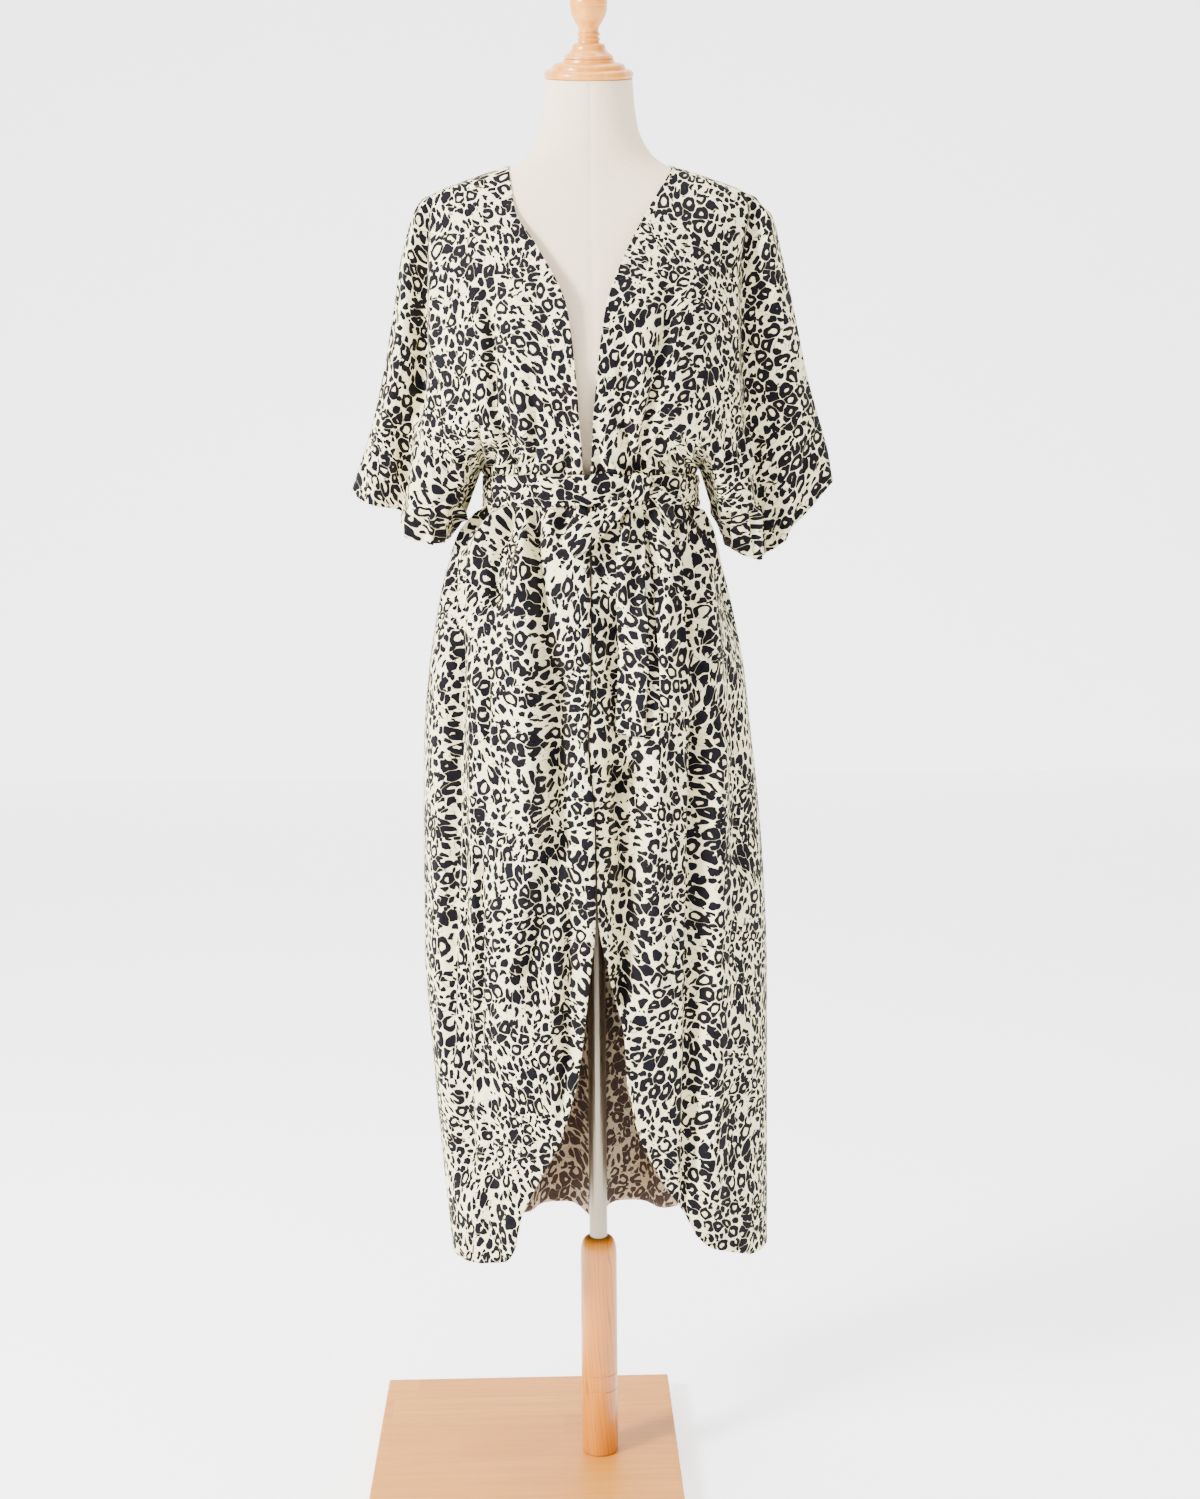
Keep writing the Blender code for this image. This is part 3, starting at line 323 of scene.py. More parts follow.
for share in (0.35, 0.7, 1.0):
    taper = 1 - (1 - NECK_TAPER) * share
    ring = neck * [taper, taper, 1.0]
    ring[:, 2] += share * (NECK_TOP + math.tan(NECK_TILT) * ring[:, 1] - ring[:, 2])
    rings.append(ring)
count = len(angles)
points = np.concatenate(rings)
# The angle runs from the front to the right and on behind, so a ring seen from above runs
# anticlockwise and these faces look outward
faces = []
for first in range(0, count * (len(rings) - 1), count):
    for i in range(count):
        after = (i + 1) % count
        faces.append((first + i, first + after, first + count + after, first + count + i))
faces += [tuple(reversed(range(count))), tuple(range(len(points) - count, len(points)))]
torso = put_mesh("linen_torso", points, faces)
torso.data.set_sharp_from_angle(angle=math.radians(50))
form_tree = BVHTree.FromPolygons(points.tolist(), faces)

# Off-white linen: a matt plain weave with thicker threads here and there in both directions,
# and a faint unevenness where the cover is stretched over the padding.
linen, tree, shader = new_finish("linen_cover", 0.88)
place = add(tree, "TexCoord", {})["Object"]
weft = streaks(tree, place, (60.0, 60.0, 2200.0), 2.0)
warp = streaks(tree, place, (1600.0, 1600.0, 50.0), 2.0)
weave = add(tree, "Math ADD", {0: weft, 1: warp})[0]
cloudy = add(tree, "TexNoise", {"Vector": place, "Scale": 14.0, "Detail": 3.0})[0]
ground = add(tree, "Mix", {0: cloudy, 6: linear("#F5DFC3"), 7: linear("#EDD6B8")},
             data_type="RGBA")[2]
thick = add(tree, "MapRange", {0: weave, 1: 0.95, 2: 1.3, 3: 0.0, 4: 0.4})[0]
ground = add(tree, "Mix", {0: thick, 6: ground, 7: linear("#C9B89C")}, data_type="RGBA")[2]
tree.links.new(ground, shader.inputs["Base Color"])
relief = add(tree, "Bump", {"Strength": 0.35, "Distance": 0.0005, "Height": weave})[0]
tree.links.new(relief, shader.inputs["Normal"])
shader.inputs["Sheen Weight"].default_value = 0.15
shader.inputs["Specular IOR Level"].default_value = 0.2
torso.data.materials.append(linen)
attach(torso, "root")
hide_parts("form_torso")


# ---- Neck cap and finial ---------------------------------------------------------------------
# Two pieces of turned pale wood, sanded fine and satin lacquered: a stepped cap glued on the
# sloping neck, and an acorn shaped finial that screws into it.
CAP_TOP = 0.0215
axis = Vector((0.0, -math.sin(NECK_TILT), math.cos(NECK_TILT)))
neck_foot = Vector((0.0, 0.001, NECK_TOP + 0.001 * math.tan(NECK_TILT)))
cap = turn_wood("turned_neck_cap", (
    (49, 0), (50.5, 0.4), (51.7, 1.6), (52.2, 3.8), (52, 5.8), (51, 7.8), (49.2, 9.1),
    (46.8, 9.8), (44, 10.1), (43.4, 9.6), (43.1, 10.1), (42.8, 11.8), (42, 14), (40, 15.8),
    (37, 16.8), (33.5, 17.3), (31, 17.5), (30.4, 17.1), (30, 17.6), (29.8, 19.2), (29.2, 21),
    (28, 21.5),
), 80, neck_foot + axis * GAP, NECK_TILT)
finial = turn_wood("turned_finial", (
    (28.5, 0), (28.6, 1.2), (28.2, 2.8), (26.8, 4), (24.8, 5.3), (22.8, 6.7), (21.2, 8.3),
    (20.1, 9.8), (19.6, 11.2), (19.4, 13), (18.7, 14.8), (17, 16), (14.5, 16.6), (12.9, 16.8),
    (12.4, 17.6), (12.2, 18.6), (12.7, 19.4), (13.1, 20), (13.4, 20.8), (13.3, 21.7),
    (12.6, 22.3), (11.8, 22.8), (11.2, 23.4), (11.1, 24), (11.8, 24.6), (12.8, 25.2), (13.4, 26),
    (13.4, 27), (12.8, 27.8), (12, 28.4), (11.4, 29.2), (11.3, 30.5), (11.7, 32.8), (12.8, 35),
    (14.6, 37.8), (16.6, 40.8), (18.4, 44), (19.9, 47.5), (20.9, 51), (21.5, 54.5), (21.6, 56),
    (21.1, 56.5), (21.6, 57.1), (21.7, 60), (21.4, 63), (20.6, 66.2), (19.2, 69.4), (17, 72.2),
    (14, 74.6), (10, 76.4), (6, 77.4), (2, 77.9),
), 64, neck_foot + axis * (CAP_TOP + 2 * GAP), NECK_TILT)

# Pale orange wood with barely darker bands along the grain and fine pores; the lacquer's soft
# highlight runs round every step.
lacquered_maple, tree, shader = new_finish("lacquered_maple", 0.36)
place = add(tree, "TexCoord", {})["Object"]
band = streaks(tree, place, (110.0, 110.0, 16.0), 3.0)
pore = streaks(tree, place, (1500.0, 1500.0, 60.0), 2.0)
wood = add(tree, "MapRange", {0: band, 1: 0.35, 2: 0.65, 3: 0.0, 4: 1.0})[0]
wood = add(tree, "Mix", {0: wood, 6: linear("#EE9C2E"), 7: linear("#DC881C")}, data_type="RGBA")[2]
pores = add(tree, "MapRange", {0: pore, 1: 0.5, 2: 0.8, 3: 0.0, 4: 0.35})[0]
wood = add(tree, "Mix", {0: pores, 6: wood, 7: linear("#B4722F")}, data_type="RGBA")[2]
tree.links.new(wood, shader.inputs["Base Color"])
relief = add(tree, "Bump", {"Strength": 0.1, "Distance": 0.0002, "Height": pore})[0]
tree.links.new(relief, shader.inputs["Normal"])
shader.inputs["Coat Weight"].default_value = 0.3
for piece, node in ((cap, "form_neck_cap"), (finial, "form_finial")):
    piece.data.materials.append(lacquered_maple)
    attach(piece, "root")
    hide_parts(node)


# ---- The coat's fronts -----------------------------------------------------------------------
# Two mirrored pieces of fluid printed crepe, each cut in one with its half sleeve and hung from
# the shoulder. Narrow turned hems run down the front edge, round the corner and along the cuff.
SEAM_HALF = 0.0001
WAIST = 1.272
HEM = 0.306
CORNER_TOP = 0.65
BELT_TOP = 1.263
BELT_BOTTOM = 1.228
# The coat above the waist. At each height: where the front edge, the outer fold of the bodice and
# the overarm fold lie on each side, and how far the cloth stands out in front and behind.
Bodice = namedtuple("Bodice", "z edge_l edge_r front back ridge_l ridge_r arm_l arm_r")
BODICE = measured(Bodice, (
    (1565, 87, 65, 64, 82, 185, 184, 209, 215.5), (1520, 62, 41, 91, 102, 187, 174, 222.5, 227),
    (1450, 30, 14, 124, 108, 188, 170, 234.5, 243), (1375, 21, 3, 136, 104, 190, 171, 249, 259),
    (1315, 16.5, -2, 127, 98, 208, 174, 264.5, 276.5),
))
# The same for the skirt, with its half widths, and the front edges' distance from the middle
Skirt = namedtuple("Skirt", "z half_l half_r front_l front_r back edge_l edge_r")
SKIRT = measured(Skirt, (
    (1272, 131, 127, 106, 106, 92, 13, -4), (1263, 128, 124, 102, 102, 89, 11.8, -4.2),
    (1246, 126.5, 123, 100, 100, 88, 10, -4.4), (1228, 128.5, 125, 102, 102, 90, 8.5, -4.6),
    (1195, 158, 144, 118, 117, 112, 7, -4.8), (1155, 175.5, 156, 130, 128, 127, 6.8, -4.8),
    (1100, 188.5, 169.5, 138, 136, 138, 6.6, -4.6), (1030, 200, 183, 142, 140, 144, 8, -5.8),
    (960, 206.5, 190.5, 140, 138, 145, 11, -9), (860, 209.5, 201, 136, 133, 144, 4, -2),
    (750, 211, 208.5, 131, 127, 142, 3.6, 0), (670, 211.5, 211.5, 127, 121, 141, 11.5, 14.5),
    (600, 207, 212, 123, 117, 140, 19.5, 30), (500, 200.5, 212.5, 118, 112, 139, 31, 34),
    (400, 192.5, 213, 112, 107, 139, 34, 36), (306, 184.5, 213.5, 107, 103, 140, 36, 36),
))
RING_POWER = 2.25
# Lines down a panel: 0 front edge, 3 side seam, 4 end of the underarm seam, 6 outer fold of the
# bodice, 7 the hollow beside it, 9 overarm fold. Lines 0 to 6 lie at these shares of the way from
# the edge to the outer fold.
BODICE_SHARE = (0.0, 0.25, 0.47, 0.66, 0.82, 0.93, 1.0)
# How far round towards its outer fold the bodice reaches, and how squarely it turns there
BODICE_REACH = 0.893
BODICE_POWER = 2.3
BODICE_BLUNT = 0.67
# The back's edge comes nearer the middle by this share of its drop from the neck point. Its side
# lines start further round, and its sleeve and blouse are flatter than the fronts'.
BACK_NECK_SLOPE = 0.125
BACK_START = math.radians(38)
BACK_SLEEVE_SHARE = 0.85
BACK_BLOUSE_SHARE = 0.6
BACK_BLOUSE_WIDER = 1.02
BACK_BLOUSE_OUT = 0.004
# The middle line of the back above the bodice rows and below them, as distance behind and height
BACK_TOP = metres(((62, 1632), (71, 1612)))
BACK_LOW = metres(((96, 1290), (92, 1272)))
# Where the ten lines cross the shoulder, the shoulder's ridge as distance out and height, and how
# far forward, down and out the cloth has rolled over it a little lower
SHOULDER_X = metres((94.5, 108, 122, 137, 153, 164, 172, 179, 187, 196))
SHOULDER_RIDGE = metres(((90, 1624.5), (120, 1616), (148, 1606.5), (175, 1596.5), (196, 1586.5)))
ROLL_Y = metres((24, 24, 24, 24, 24, 23, 21, 16, 10, 0))
ROLL_DROP = metres((9, 9, 9, 9, 9, 9, 8.5, 8.5, 8.5, 9))
ROLL_OUT = metres((-1, -1, 0, 1, 2, 3, 4, 5, 6, 7))
# The hollow beside the bodice and the fullest part of the sleeve: share of the way from the outer
# fold to the overarm fold, and distance forward where the sleeve is at its full width
VALLEY_SHARE = 0.14
VALLEY_Y = 0.011
SLEEVE_SHARE = 0.68
SLEEVE_Y = 0.025
FULL_SLEEVE = 0.050
# The blouse above the belt and the cuff, for lines 3 to 9: distance out, forward and height
Line = namedtuple("Line", "line x y z")
BLOUSE_LEFT = measured(Line, (
    (0, 14, 114, 1290), (1, 55, 112, 1290), (2, 103, 86, 1290), (3, 137, 60, 1286),
    (4, 153, 62, 1250), (5, 184, 70, 1240), (6, 214, 55, 1255), (7, 217, 12, 1268),
    (8, 255, 26, 1270), (9, 278, 0, 1276),
))
CUFF_LEFT = measured(Line, (
    (3, 131, 0, 1272), (4, 161, 0, 1203), (5, 190, 50, 1184), (6, 222.5, 45, 1197),
    (7, 228.5, 12, 1223.5), (8, 262, 24, 1230.5), (9, 288.6, 0, 1245),
))
BLOUSE_RIGHT = measured(Line, (
    (0, -3, 114, 1290), (1, 45, 113, 1290), (2, 96, 90, 1290), (3, 132, 62, 1286),
    (4, 146, 66, 1245), (5, 164, 70, 1232), (6, 187, 60, 1230), (7, 197, 14, 1238),
    (8, 236, 26, 1245), (9, 283, 0, 1292),
))
CUFF_RIGHT = measured(Line, (
    (3, 127, 0, 1272), (4, 149, 0, 1208), (5, 168, 55, 1176), (6, 193.5, 58, 1163),
    (7, 204, 14, 1168), (8, 223, 26, 1181), (9, 289.7, 0, 1254),
))
# The rounded lower corner of a front: distance from its edge, and rise of the hem there
CORNER_LEFT = metres((
    (0, 240), (11, 178), (26, 140), (45, 100), (58, 70), (68, 25), (80, 8), (110, 0),
))
CORNER_RIGHT = metres((
    (0, 240), (11, 178), (26, 140), (45, 103), (66, 72), (80, 43), (105, 18), (150, 0),
))


def on_side(name, side):
    """The name of a table's column on one side."""
    return name + ("_l" if side < 0 else "_r")


def waist_ring(side, back, z, line):
    """Points of the closed ring below the bodice, for lines 0 to 3."""
    half_x = by_height(SKIRT, on_side("half", side), z)
    if back:
        depth = by_height(SKIRT, "back", z)
        start = BACK_START
    else:
        depth = by_height(SKIRT, on_side("front", side), z)
        edge = by_height(SKIRT, on_side("edge", side), z)
        start = np.arcsin(np.sign(edge) * np.abs(edge / half_x) ** (RING_POWER / 2))
    angle = start + (np.pi / 2 - start) * line / 3
    return oval(angle, half_x, depth, RING_POWER)


def bodice_lines(row, side, back):
    """The ten lines of a panel at one height above the waist, as distance out and forward."""
    edge, ridge, arm = (getattr(row, on_side(name, side)) for name in ("edge", "ridge", "arm"))
    depth = row.back if back else row.front
    if back:
        edge = SHOULDER_X[0] - BACK_NECK_SLOPE * (SHOULDER_RIDGE[0][1] - row.z)
    points = []
    for share in BODICE_SHARE:
        x = edge + share * (ridge - edge)
        flat = max(0.0, 1 - abs(BODICE_REACH * x / ridge) ** BODICE_POWER)
        points.append((x, depth * flat ** BODICE_BLUNT))
    spread = arm - ridge
    points.append((ridge + VALLEY_SHARE * spread, VALLEY_Y))
    points.append((ridge + SLEEVE_SHARE * spread, SLEEVE_Y * min(1.0, spread / FULL_SLEEVE)))
    points.append((arm, 0.0))
    return [(x, y, row.z) for x, y in points]


def panel_lines(side, back):
    """For each of the ten lines of a panel, its points from the shoulder to the belt or cuff."""
    blouse = BLOUSE_LEFT if side < 0 else BLOUSE_RIGHT
    cuff = {row.line: row for row in (CUFF_LEFT if side < 0 else CUFF_RIGHT)}
    rows = [bodice_lines(row, side, back) for row in BODICE]
    lines = []
    for i in range(10):
        x = SHOULDER_X[i]
        z = float(np.interp(x, *zip(*SHOULDER_RIDGE)))
        down = [(x, 0.0, z), (x + ROLL_OUT[i], ROLL_Y[i], z - ROLL_DROP[i])]
        down += [row[i] for row in rows]
        out, ahead = blouse[i].x, blouse[i].y
        if back and i < 3:
            out, ahead = waist_ring(side, True, WAIST, i)
            out, ahead = out * BACK_BLOUSE_WIDER, ahead + BACK_BLOUSE_OUT
        elif back:
            ahead *= BACK_BLOUSE_SHARE if i == 3 else BACK_SLEEVE_SHARE
        down.append((out, ahead, blouse[i].z))
        if i < 3:
            down.append((*waist_ring(side, back, WAIST, i), WAIST))
        else:
            end = cuff[i]
            down.append((end.x, end.y * (BACK_SLEEVE_SHARE if back else 1.0), end.z))
        lines.append(down)
    return np.array(lines, float)


def half_panel(side, back, columns, steps, heights):
    """Rows of a half panel's outer points, and which of them have cloth."""
    lines = panel_lines(side, back)
    count = lines.shape[1]
    out = columns >= 0
    across = smooth_curve(range(10), lines, columns[out])
    above = np.zeros((len(steps), len(columns), 3))
    above[:, out] = smooth_curve(range(count), across.swapaxes(0, 1), steps)
    if back:
        share = ((columns[~out] + 2) / 2)[None, :]
        behind = np.sqrt(1 - share ** 2.4)
        neck = smooth_curve(range(count), lines[0], steps)[:, None, :]
        middle = list(BACK_TOP) + [(row.back, row.z) for row in BODICE] + list(BACK_LOW)
        middle = smooth_curve(range(count), middle, steps)[:, None, :]
        above[:, ~out, 0] = neck[..., 0] * share
        above[:, ~out, 1] = neck[..., 1] + (middle[..., 0] - neck[..., 1]) * behind
        above[:, ~out, 2] = middle[..., 1] + (neck[..., 2] - middle[..., 1]) * share ** 3
    body = columns <= 3
    line = np.where(body, columns, 3)[None, :] * np.ones((len(heights), 1))
    z = heights[:, None] * np.ones_like(line)
    if not back:
        edge = by_height(SKIRT, on_side("edge", side), HEM)
        foot = waist_ring(side, False, HEM, line)[0]
        corner = CORNER_LEFT if side < 0 else CORNER_RIGHT
        rise = smooth_curve(*zip(*corner), np.abs(foot - edge))
        lower = CORNER_TOP - (CORNER_TOP - z) * (CORNER_TOP - HEM - rise) / (CORNER_TOP - HEM)
        z = np.where(z < CORNER_TOP, lower, z)
    x, ahead = waist_ring(side, back, z, np.maximum(line, 0))
    if back:
        share = (line + 2) / 2
        half_x = by_height(SKIRT, on_side("half", side), z)
        x = np.where(line < 0, x * share, x)
        bulge = (1 - np.abs(x / half_x) ** RING_POWER) ** (1 / RING_POWER)
        inside = by_height(SKIRT, "back", z) * bulge
        ahead = np.where(line < 0, inside, ahead)
    below = np.stack([x, ahead, z], axis=2)
    points = np.concatenate([above, below])
    points[..., 0] *= side
    points[..., 1] *= 1 if back else -1
    cloth = np.ones(points.shape[:2], bool)
    cloth[len(steps):, ~body] = False
    return points, cloth


def number_cells(cloth):
    """The number of each place that has cloth, and the corners of each cell."""
    number = np.cumsum(cloth.ravel()).reshape(cloth.shape) - 1
    full = cloth[:-1, :-1] & cloth[1:, :-1] & cloth[1:, 1:] & cloth[:-1, 1:]
    r, c = np.nonzero(full)
    return np.stack([number[r, c], number[r + 1, c], number[r + 1, c + 1], number[r, c + 1]], 1)


def outward(points, cells):
    """Outward directions at the points of a sheet."""
    a, b, c, d = (points[cells[:, i]] for i in range(4))
    across = np.cross(c - a, d - b)
    total = np.zeros_like(points)
    for i in range(4):
        for k in range(3):
            total[:, k] += np.bincount(cells[:, i], across[:, k], len(points))
    return total / np.maximum(np.linalg.norm(total, axis=1), 1e-12)[:, None]


# A fold as seen from the front or the back: its path, its half widths to the left and to the
# right of a path that runs down, its height out of the cloth, and how softly it ends
Fold = namedtuple("Fold", "path left right height end")


def fold_push(x, z, folds):
    """How far the folds push the cloth out at places of the front or back view."""
    push = np.zeros_like(x)
    for fold in folds:
        path = fold.path
        best = np.full_like(x, 9.0)
        aside = np.zeros_like(x)
        along = np.zeros_like(x)
        done = 0.0
        for i, (a, b) in enumerate(zip(path[:-1], path[1:])):
            length = math.hypot(*(b - a))
            ux, uz = (b - a) / length
            t = (x - a[0]) * ux + (z - a[1]) * uz
            off = (x - a[0]) * uz - (z - a[1]) * ux
            t_in = np.clip(t, 0.0 if i else -1.0, length if i < len(path) - 2 else 3.0)
            far = np.hypot(off, t - t_in)
            closer = far < best
            best = np.where(closer, far, best)
            aside = np.where(closer, off, aside)
            along = np.where(closer, done + t, along)
            done += length
        fade = np.clip(np.minimum(along, done - along) / fold.end + 0.5, 0.0, 1.0)
        fade = fade * fade * (3 - 2 * fade)
        width = np.where(aside < 0, fold.right, fold.left)
        push += fold.height * fade * np.exp(-(best / width) ** 2)
    return push


def creases(rows):
    """Folds from rows of a path, two half widths, a height and a softness, in millimetres."""
    return [Fold(metres(path), *metres(rest)) for path, *rest in rows]


def plain_folds(rows):
    """Straight folds from rows of both ends, half width and height, in millimetres."""
    return creases([(((x0, z0), (x1, z1)), w, w, h, 45) for x0, z0, x1, z1, w, h in rows])


FRONT_FOLDS = plain_folds((
    (-122, 1480, -106, 1345, 11, -8), (-106, 1345, -94, 1285, 10, -8),
    (-88, 1470, -78, 1300, 14, 5), (-70, 1380, -70, 1285, 8, -4), (92, 1480, 66, 1330, 11, -7),
    (66, 1330, 56, 1285, 9, -6), (34, 1420, 44, 1290, 10, -4), (-98, 1215, -124, 1110, 13, -15),
    (-70, 1215, -50, 1020, 14, -17), (-50, 1040, -46, 830, 16, -24),
    (-46, 850, -78, 640, 16, -17), (-80, 1100, -78, 760, 21, 13),
    (-168, 1080, -165, 420, 13, -17), (-138, 900, -132, 330, 13, -8),
    (-34, 780, -40, 560, 13, -17), (26, 1120, 32, 900, 18, -24), (32, 930, 30, 640, 20, -34),
    (64, 1100, 60, 650, 22, 14), (115, 1190, 118, 1020, 13, -15), (122, 980, 113, 420, 11, -20),
    (142, 960, 134, 370, 15, 10), (162, 1150, 172, 800, 14, -10),
)) + creases((
    (((-97, 1228), (-109, 1201), (-118, 1180), (-123, 1153), (-124, 1123)), 4, 6, -10.4, 20),
    (((-74, 1228), (-77, 1189), (-70, 1132), (-63, 1052), (-55, 1027), (-53, 969), (-60, 875),
      (-68, 813), (-94, 680)), 3.2, 9.5, -18.6, 30),
    (((-167, 1169), (-173, 1010), (-179, 777), (-185, 561)), 5, 5, -11.6, 50),
    (((-152, 1184), (-155, 1124), (-158, 1047)), 4, 4, -6.5, 30),
    (((-144, 823), (-144, 681), (-149, 527)), 4, 5, -9.3, 40),
    (((-126, 1047), (-127, 952)), 4, 4.5, -6.5, 30),
    (((-36, 757), (-43, 643), (-47, 510)), 4, 6, -11.2, 50),
    (((12, 1106), (20, 1019), (29, 952)), 5, 5, -10.4, 30),
    (((18, 952), (27, 856), (36, 773)), 6, 4, -13.9, 30),
    (((54, 952), (52, 856), (44, 773), (33, 637)), 9, 3.2, -15, 30),
    (((64, 1076), (55, 967)), 4.5, 4.5, -7, 30), (((104, 1181), (116, 1076)), 4, 5.5, -9.3, 30),
    (((123, 1121), (137, 1044)), 4, 4, -7, 30),
    (((118, 997), (111, 820), (106, 604), (102, 388)), 4, 6, -11.6, 50),
    (((150, 1013), (156, 950)), 4, 4, -6.5, 30),
    (((-121, 1446), (-116, 1343), (-106, 1304), (-95, 1268)), 4.5, 4.5, -8.2, 30),
    (((-69, 1338), (-72, 1264)), 3.5, 4.5, -7, 20),
    (((-136, 1325), (-125, 1252)), 3.5, 4, -7, 20),
    (((89, 1443), (78, 1402), (70, 1360), (58, 1307), (51, 1265)), 4.5, 5, -8.8, 30),
    (((30, 1386), (34, 1274), (43, 1262)), 4, 4.5, -6, 20),
    (((20, 1347), (38, 1291), (51, 1262)), 3.5, 4, -6.5, 20),
    (((80, 1313), (65, 1280), (56, 1262)), 3.5, 3.5, -7, 20),
    (((119, 1302), (88, 1277), (66, 1265)), 3.5, 3.5, -7, 20),
    (((-131, 1253), (-165, 1242), (-194, 1225)), 3.5, 4, -7, 20),
    (((-129, 1245), (-160, 1225), (-177, 1203)), 3.5, 3.5, -6, 20),
    (((-133, 1261), (-162, 1261), (-190, 1252)), 3.5, 4, -6, 20),
    (((-199, 1426), (-204, 1348), (-210, 1270)), 5, 5, -7, 40),
))
# Small gathers that the sash draws in, as waves from edge to side and their turns. How soon they
# rise and how far they reach, below the sash and above it
GATHER_WAVES = ((3.1, 0.4), (4.7, 2.1), (7.3, 4.0))
GATHER_HEIGHT = 0.0046
GATHER_RISE = (0.012, 0.010)
GATHER_REACH = (0.060, 0.022)
HEM_UNEVEN = 0.0025
WALL = 0.0009
# How far the cloth stays off the form and off the plane of the seams, how near that plane its
# folds die away, and how far apart the print starts on the coat's pieces
CLEAR = 0.0008
NEAR_SEAM = 0.0006
CALM_SEAM = 0.012
PRINT_SHIFT = 0.37


def gather_push(line, z, turn):
    """How far the gathers push the cloth out, beside the sash and nowhere under it."""
    wave = sum(np.sin(2 * np.pi * count * line / 3 + phase + turn)
               for count, phase in GATHER_WAVES)
    ways = zip((BELT_BOTTOM - z, z - BELT_TOP), GATHER_RISE, GATHER_REACH)
    below, above = (np.clip(away / rise, 0, 1) * np.exp(-np.maximum(away, 0) / reach)
                    for away, rise, reach in ways)
    return GATHER_HEIGHT * wave * (below + above)


def pick(piece):
    """Select one piece alone."""
    bpy.ops.object.select_all(action="DESELECT")
    piece.select_set(True)
    bpy.context.view_layer.objects.active = piece


def corner_numbers(mesh):
    """The vertex at each corner of each face."""
    corner = np.zeros(len(mesh.loops), int)
    mesh.loops.foreach_get("vertex_index", corner)
    return corner


def lay_flat(piece, flat):
    """Note where each vertex of a piece lies on its flat pattern."""
    layer = piece.data.uv_layers.new(name="flat")
    layer.data.foreach_set("uv", flat[corner_numbers(piece.data)].ravel())


def flat_pattern(points, cloth, waist_row, up_column):
    """The cut piece laid flat, its length up, from a coarse copy unwrapped with little stretch."""
    coarse, kept = points[::2, ::2], cloth[::2, ::2]
    sheet = put_mesh("pattern", coarse[kept], number_cells(kept))
    pick(sheet)
    bpy.ops.object.mode_set(mode="EDIT")
    bpy.ops.mesh.select_all(action="SELECT")
    bpy.ops.uv.unwrap(method="MINIMUM_STRETCH", margin=0.0)
    bpy.ops.object.mode_set(mode="OBJECT")
    mesh = sheet.data
    spot = np.zeros(len(mesh.loops) * 2)
    mesh.uv_layers.active.data.foreach_get("uv", spot)
    flat = np.zeros((len(mesh.vertices), 2))
    flat[corner_numbers(mesh)] = spot.reshape(-1, 2)
    ends = np.array([edge.vertices for edge in mesh.edges])
    solid = np.linalg.norm(coarse[kept][ends[:, 0]] - coarse[kept][ends[:, 1]], axis=1).sum()
    flat *= solid / np.linalg.norm(flat[ends[:, 0]] - flat[ends[:, 1]], axis=1).sum()
    bpy.data.objects.remove(sheet, do_unlink=True)
    grid = np.full(kept.shape + (2,), np.nan)
    grid[kept] = flat
    up = grid[waist_row // 2, up_column // 2] - grid[-1, up_column // 2]
    turn = math.pi / 2 - math.atan2(up[1], up[0])
    spin = np.array([[math.cos(turn), math.sin(turn)], [-math.sin(turn), math.cos(turn)]])
    grid = grid @ spin
    fine = np.full(cloth.shape + (2,), np.nan)
    fine[::2, ::2] = grid
    fine[::2, 1::2] = (grid[:, :-1] + grid[:, 1:]) / 2
    fine[1::2] = (fine[:-1:2] + fine[2::2]) / 2
    return fine - np.nanmin(fine, axis=(0, 1))


def sew_panel(name, points, cloth, columns, steps, back, folds, turn, finishes):
    """One cut piece of the coat, folded, kept off the form, laid flat and given its wall."""
    cells = number_cells(cloth)
    seam = np.zeros(cloth.shape, bool)
    seam[0] = columns >= 0
    seam[:len(steps), columns == 9] = True
    seam[len(steps) - 1, (columns >= 3) & (columns <= 4)] = True
    seam[len(steps):, columns == 3] = True
    line = (columns[None, :] * np.ones((len(cloth), 1)))[cloth]
    flat = flat_pattern(points, cloth, len(steps), int(np.argmin(np.abs(columns - 1))))[cloth]
    points, seam = points[cloth], seam[cloth]
    if (outward(points, cells)[:, 1].sum() > 0) != back:
        cells = cells[:, ::-1]
    out = outward(points, cells)
    side = np.sign(points[:, 0])
    push = fold_push(points[:, 0], points[:, 2], folds)
    push += gather_push(line + side * 0.7, points[:, 2], turn)
    calm = np.clip(np.abs(points[:, 1]) / CALM_SEAM, 0, 1)
    points = points + out * (push * calm)[:, None]
    low = np.clip((CORNER_TOP - points[:, 2]) / (CORNER_TOP - HEM), 0, 1) ** 2
    points[:, 2] += HEM_UNEVEN * low * np.sin(points[:, 0] * 61 + turn) * np.cos(points[:, 0] * 23)
    plane = SEAM_HALF if back else -SEAM_HALF
    ways = 1 if back else -1
    for _ in range(6):
        inner = points - outward(points, cells) * WALL
        for i in np.nonzero(points[:, 2] > TORSO[0].z - 0.01)[0]:
            near, face, _, _ = form_tree.find_nearest(Vector(inner[i]))
            short = CLEAR - (Vector(inner[i]) - near).dot(face)
            if short > 0:
                points[i] += np.array(face) * short
        points[seam, 1] = plane
        free = ~seam
        points[free, 1] = ways * np.maximum(ways * points[free, 1], NEAR_SEAM)
    piece = put_mesh(name, points, cells)
    lay_flat(piece, flat + PRINT_SHIFT * turn)
    for finish in finishes:
        piece.data.materials.append(finish)
    give_wall(piece, WALL)
    spots = np.zeros(len(piece.data.vertices) * 3)
    piece.data.vertices.foreach_get("co", spots)
    spots = spots.reshape(-1, 3)
    spots[:, 1] = ways * np.maximum(ways * spots[:, 1], SEAM_HALF)
    piece.data.vertices.foreach_set("co", spots.ravel())
    piece.data.update()
    return piece


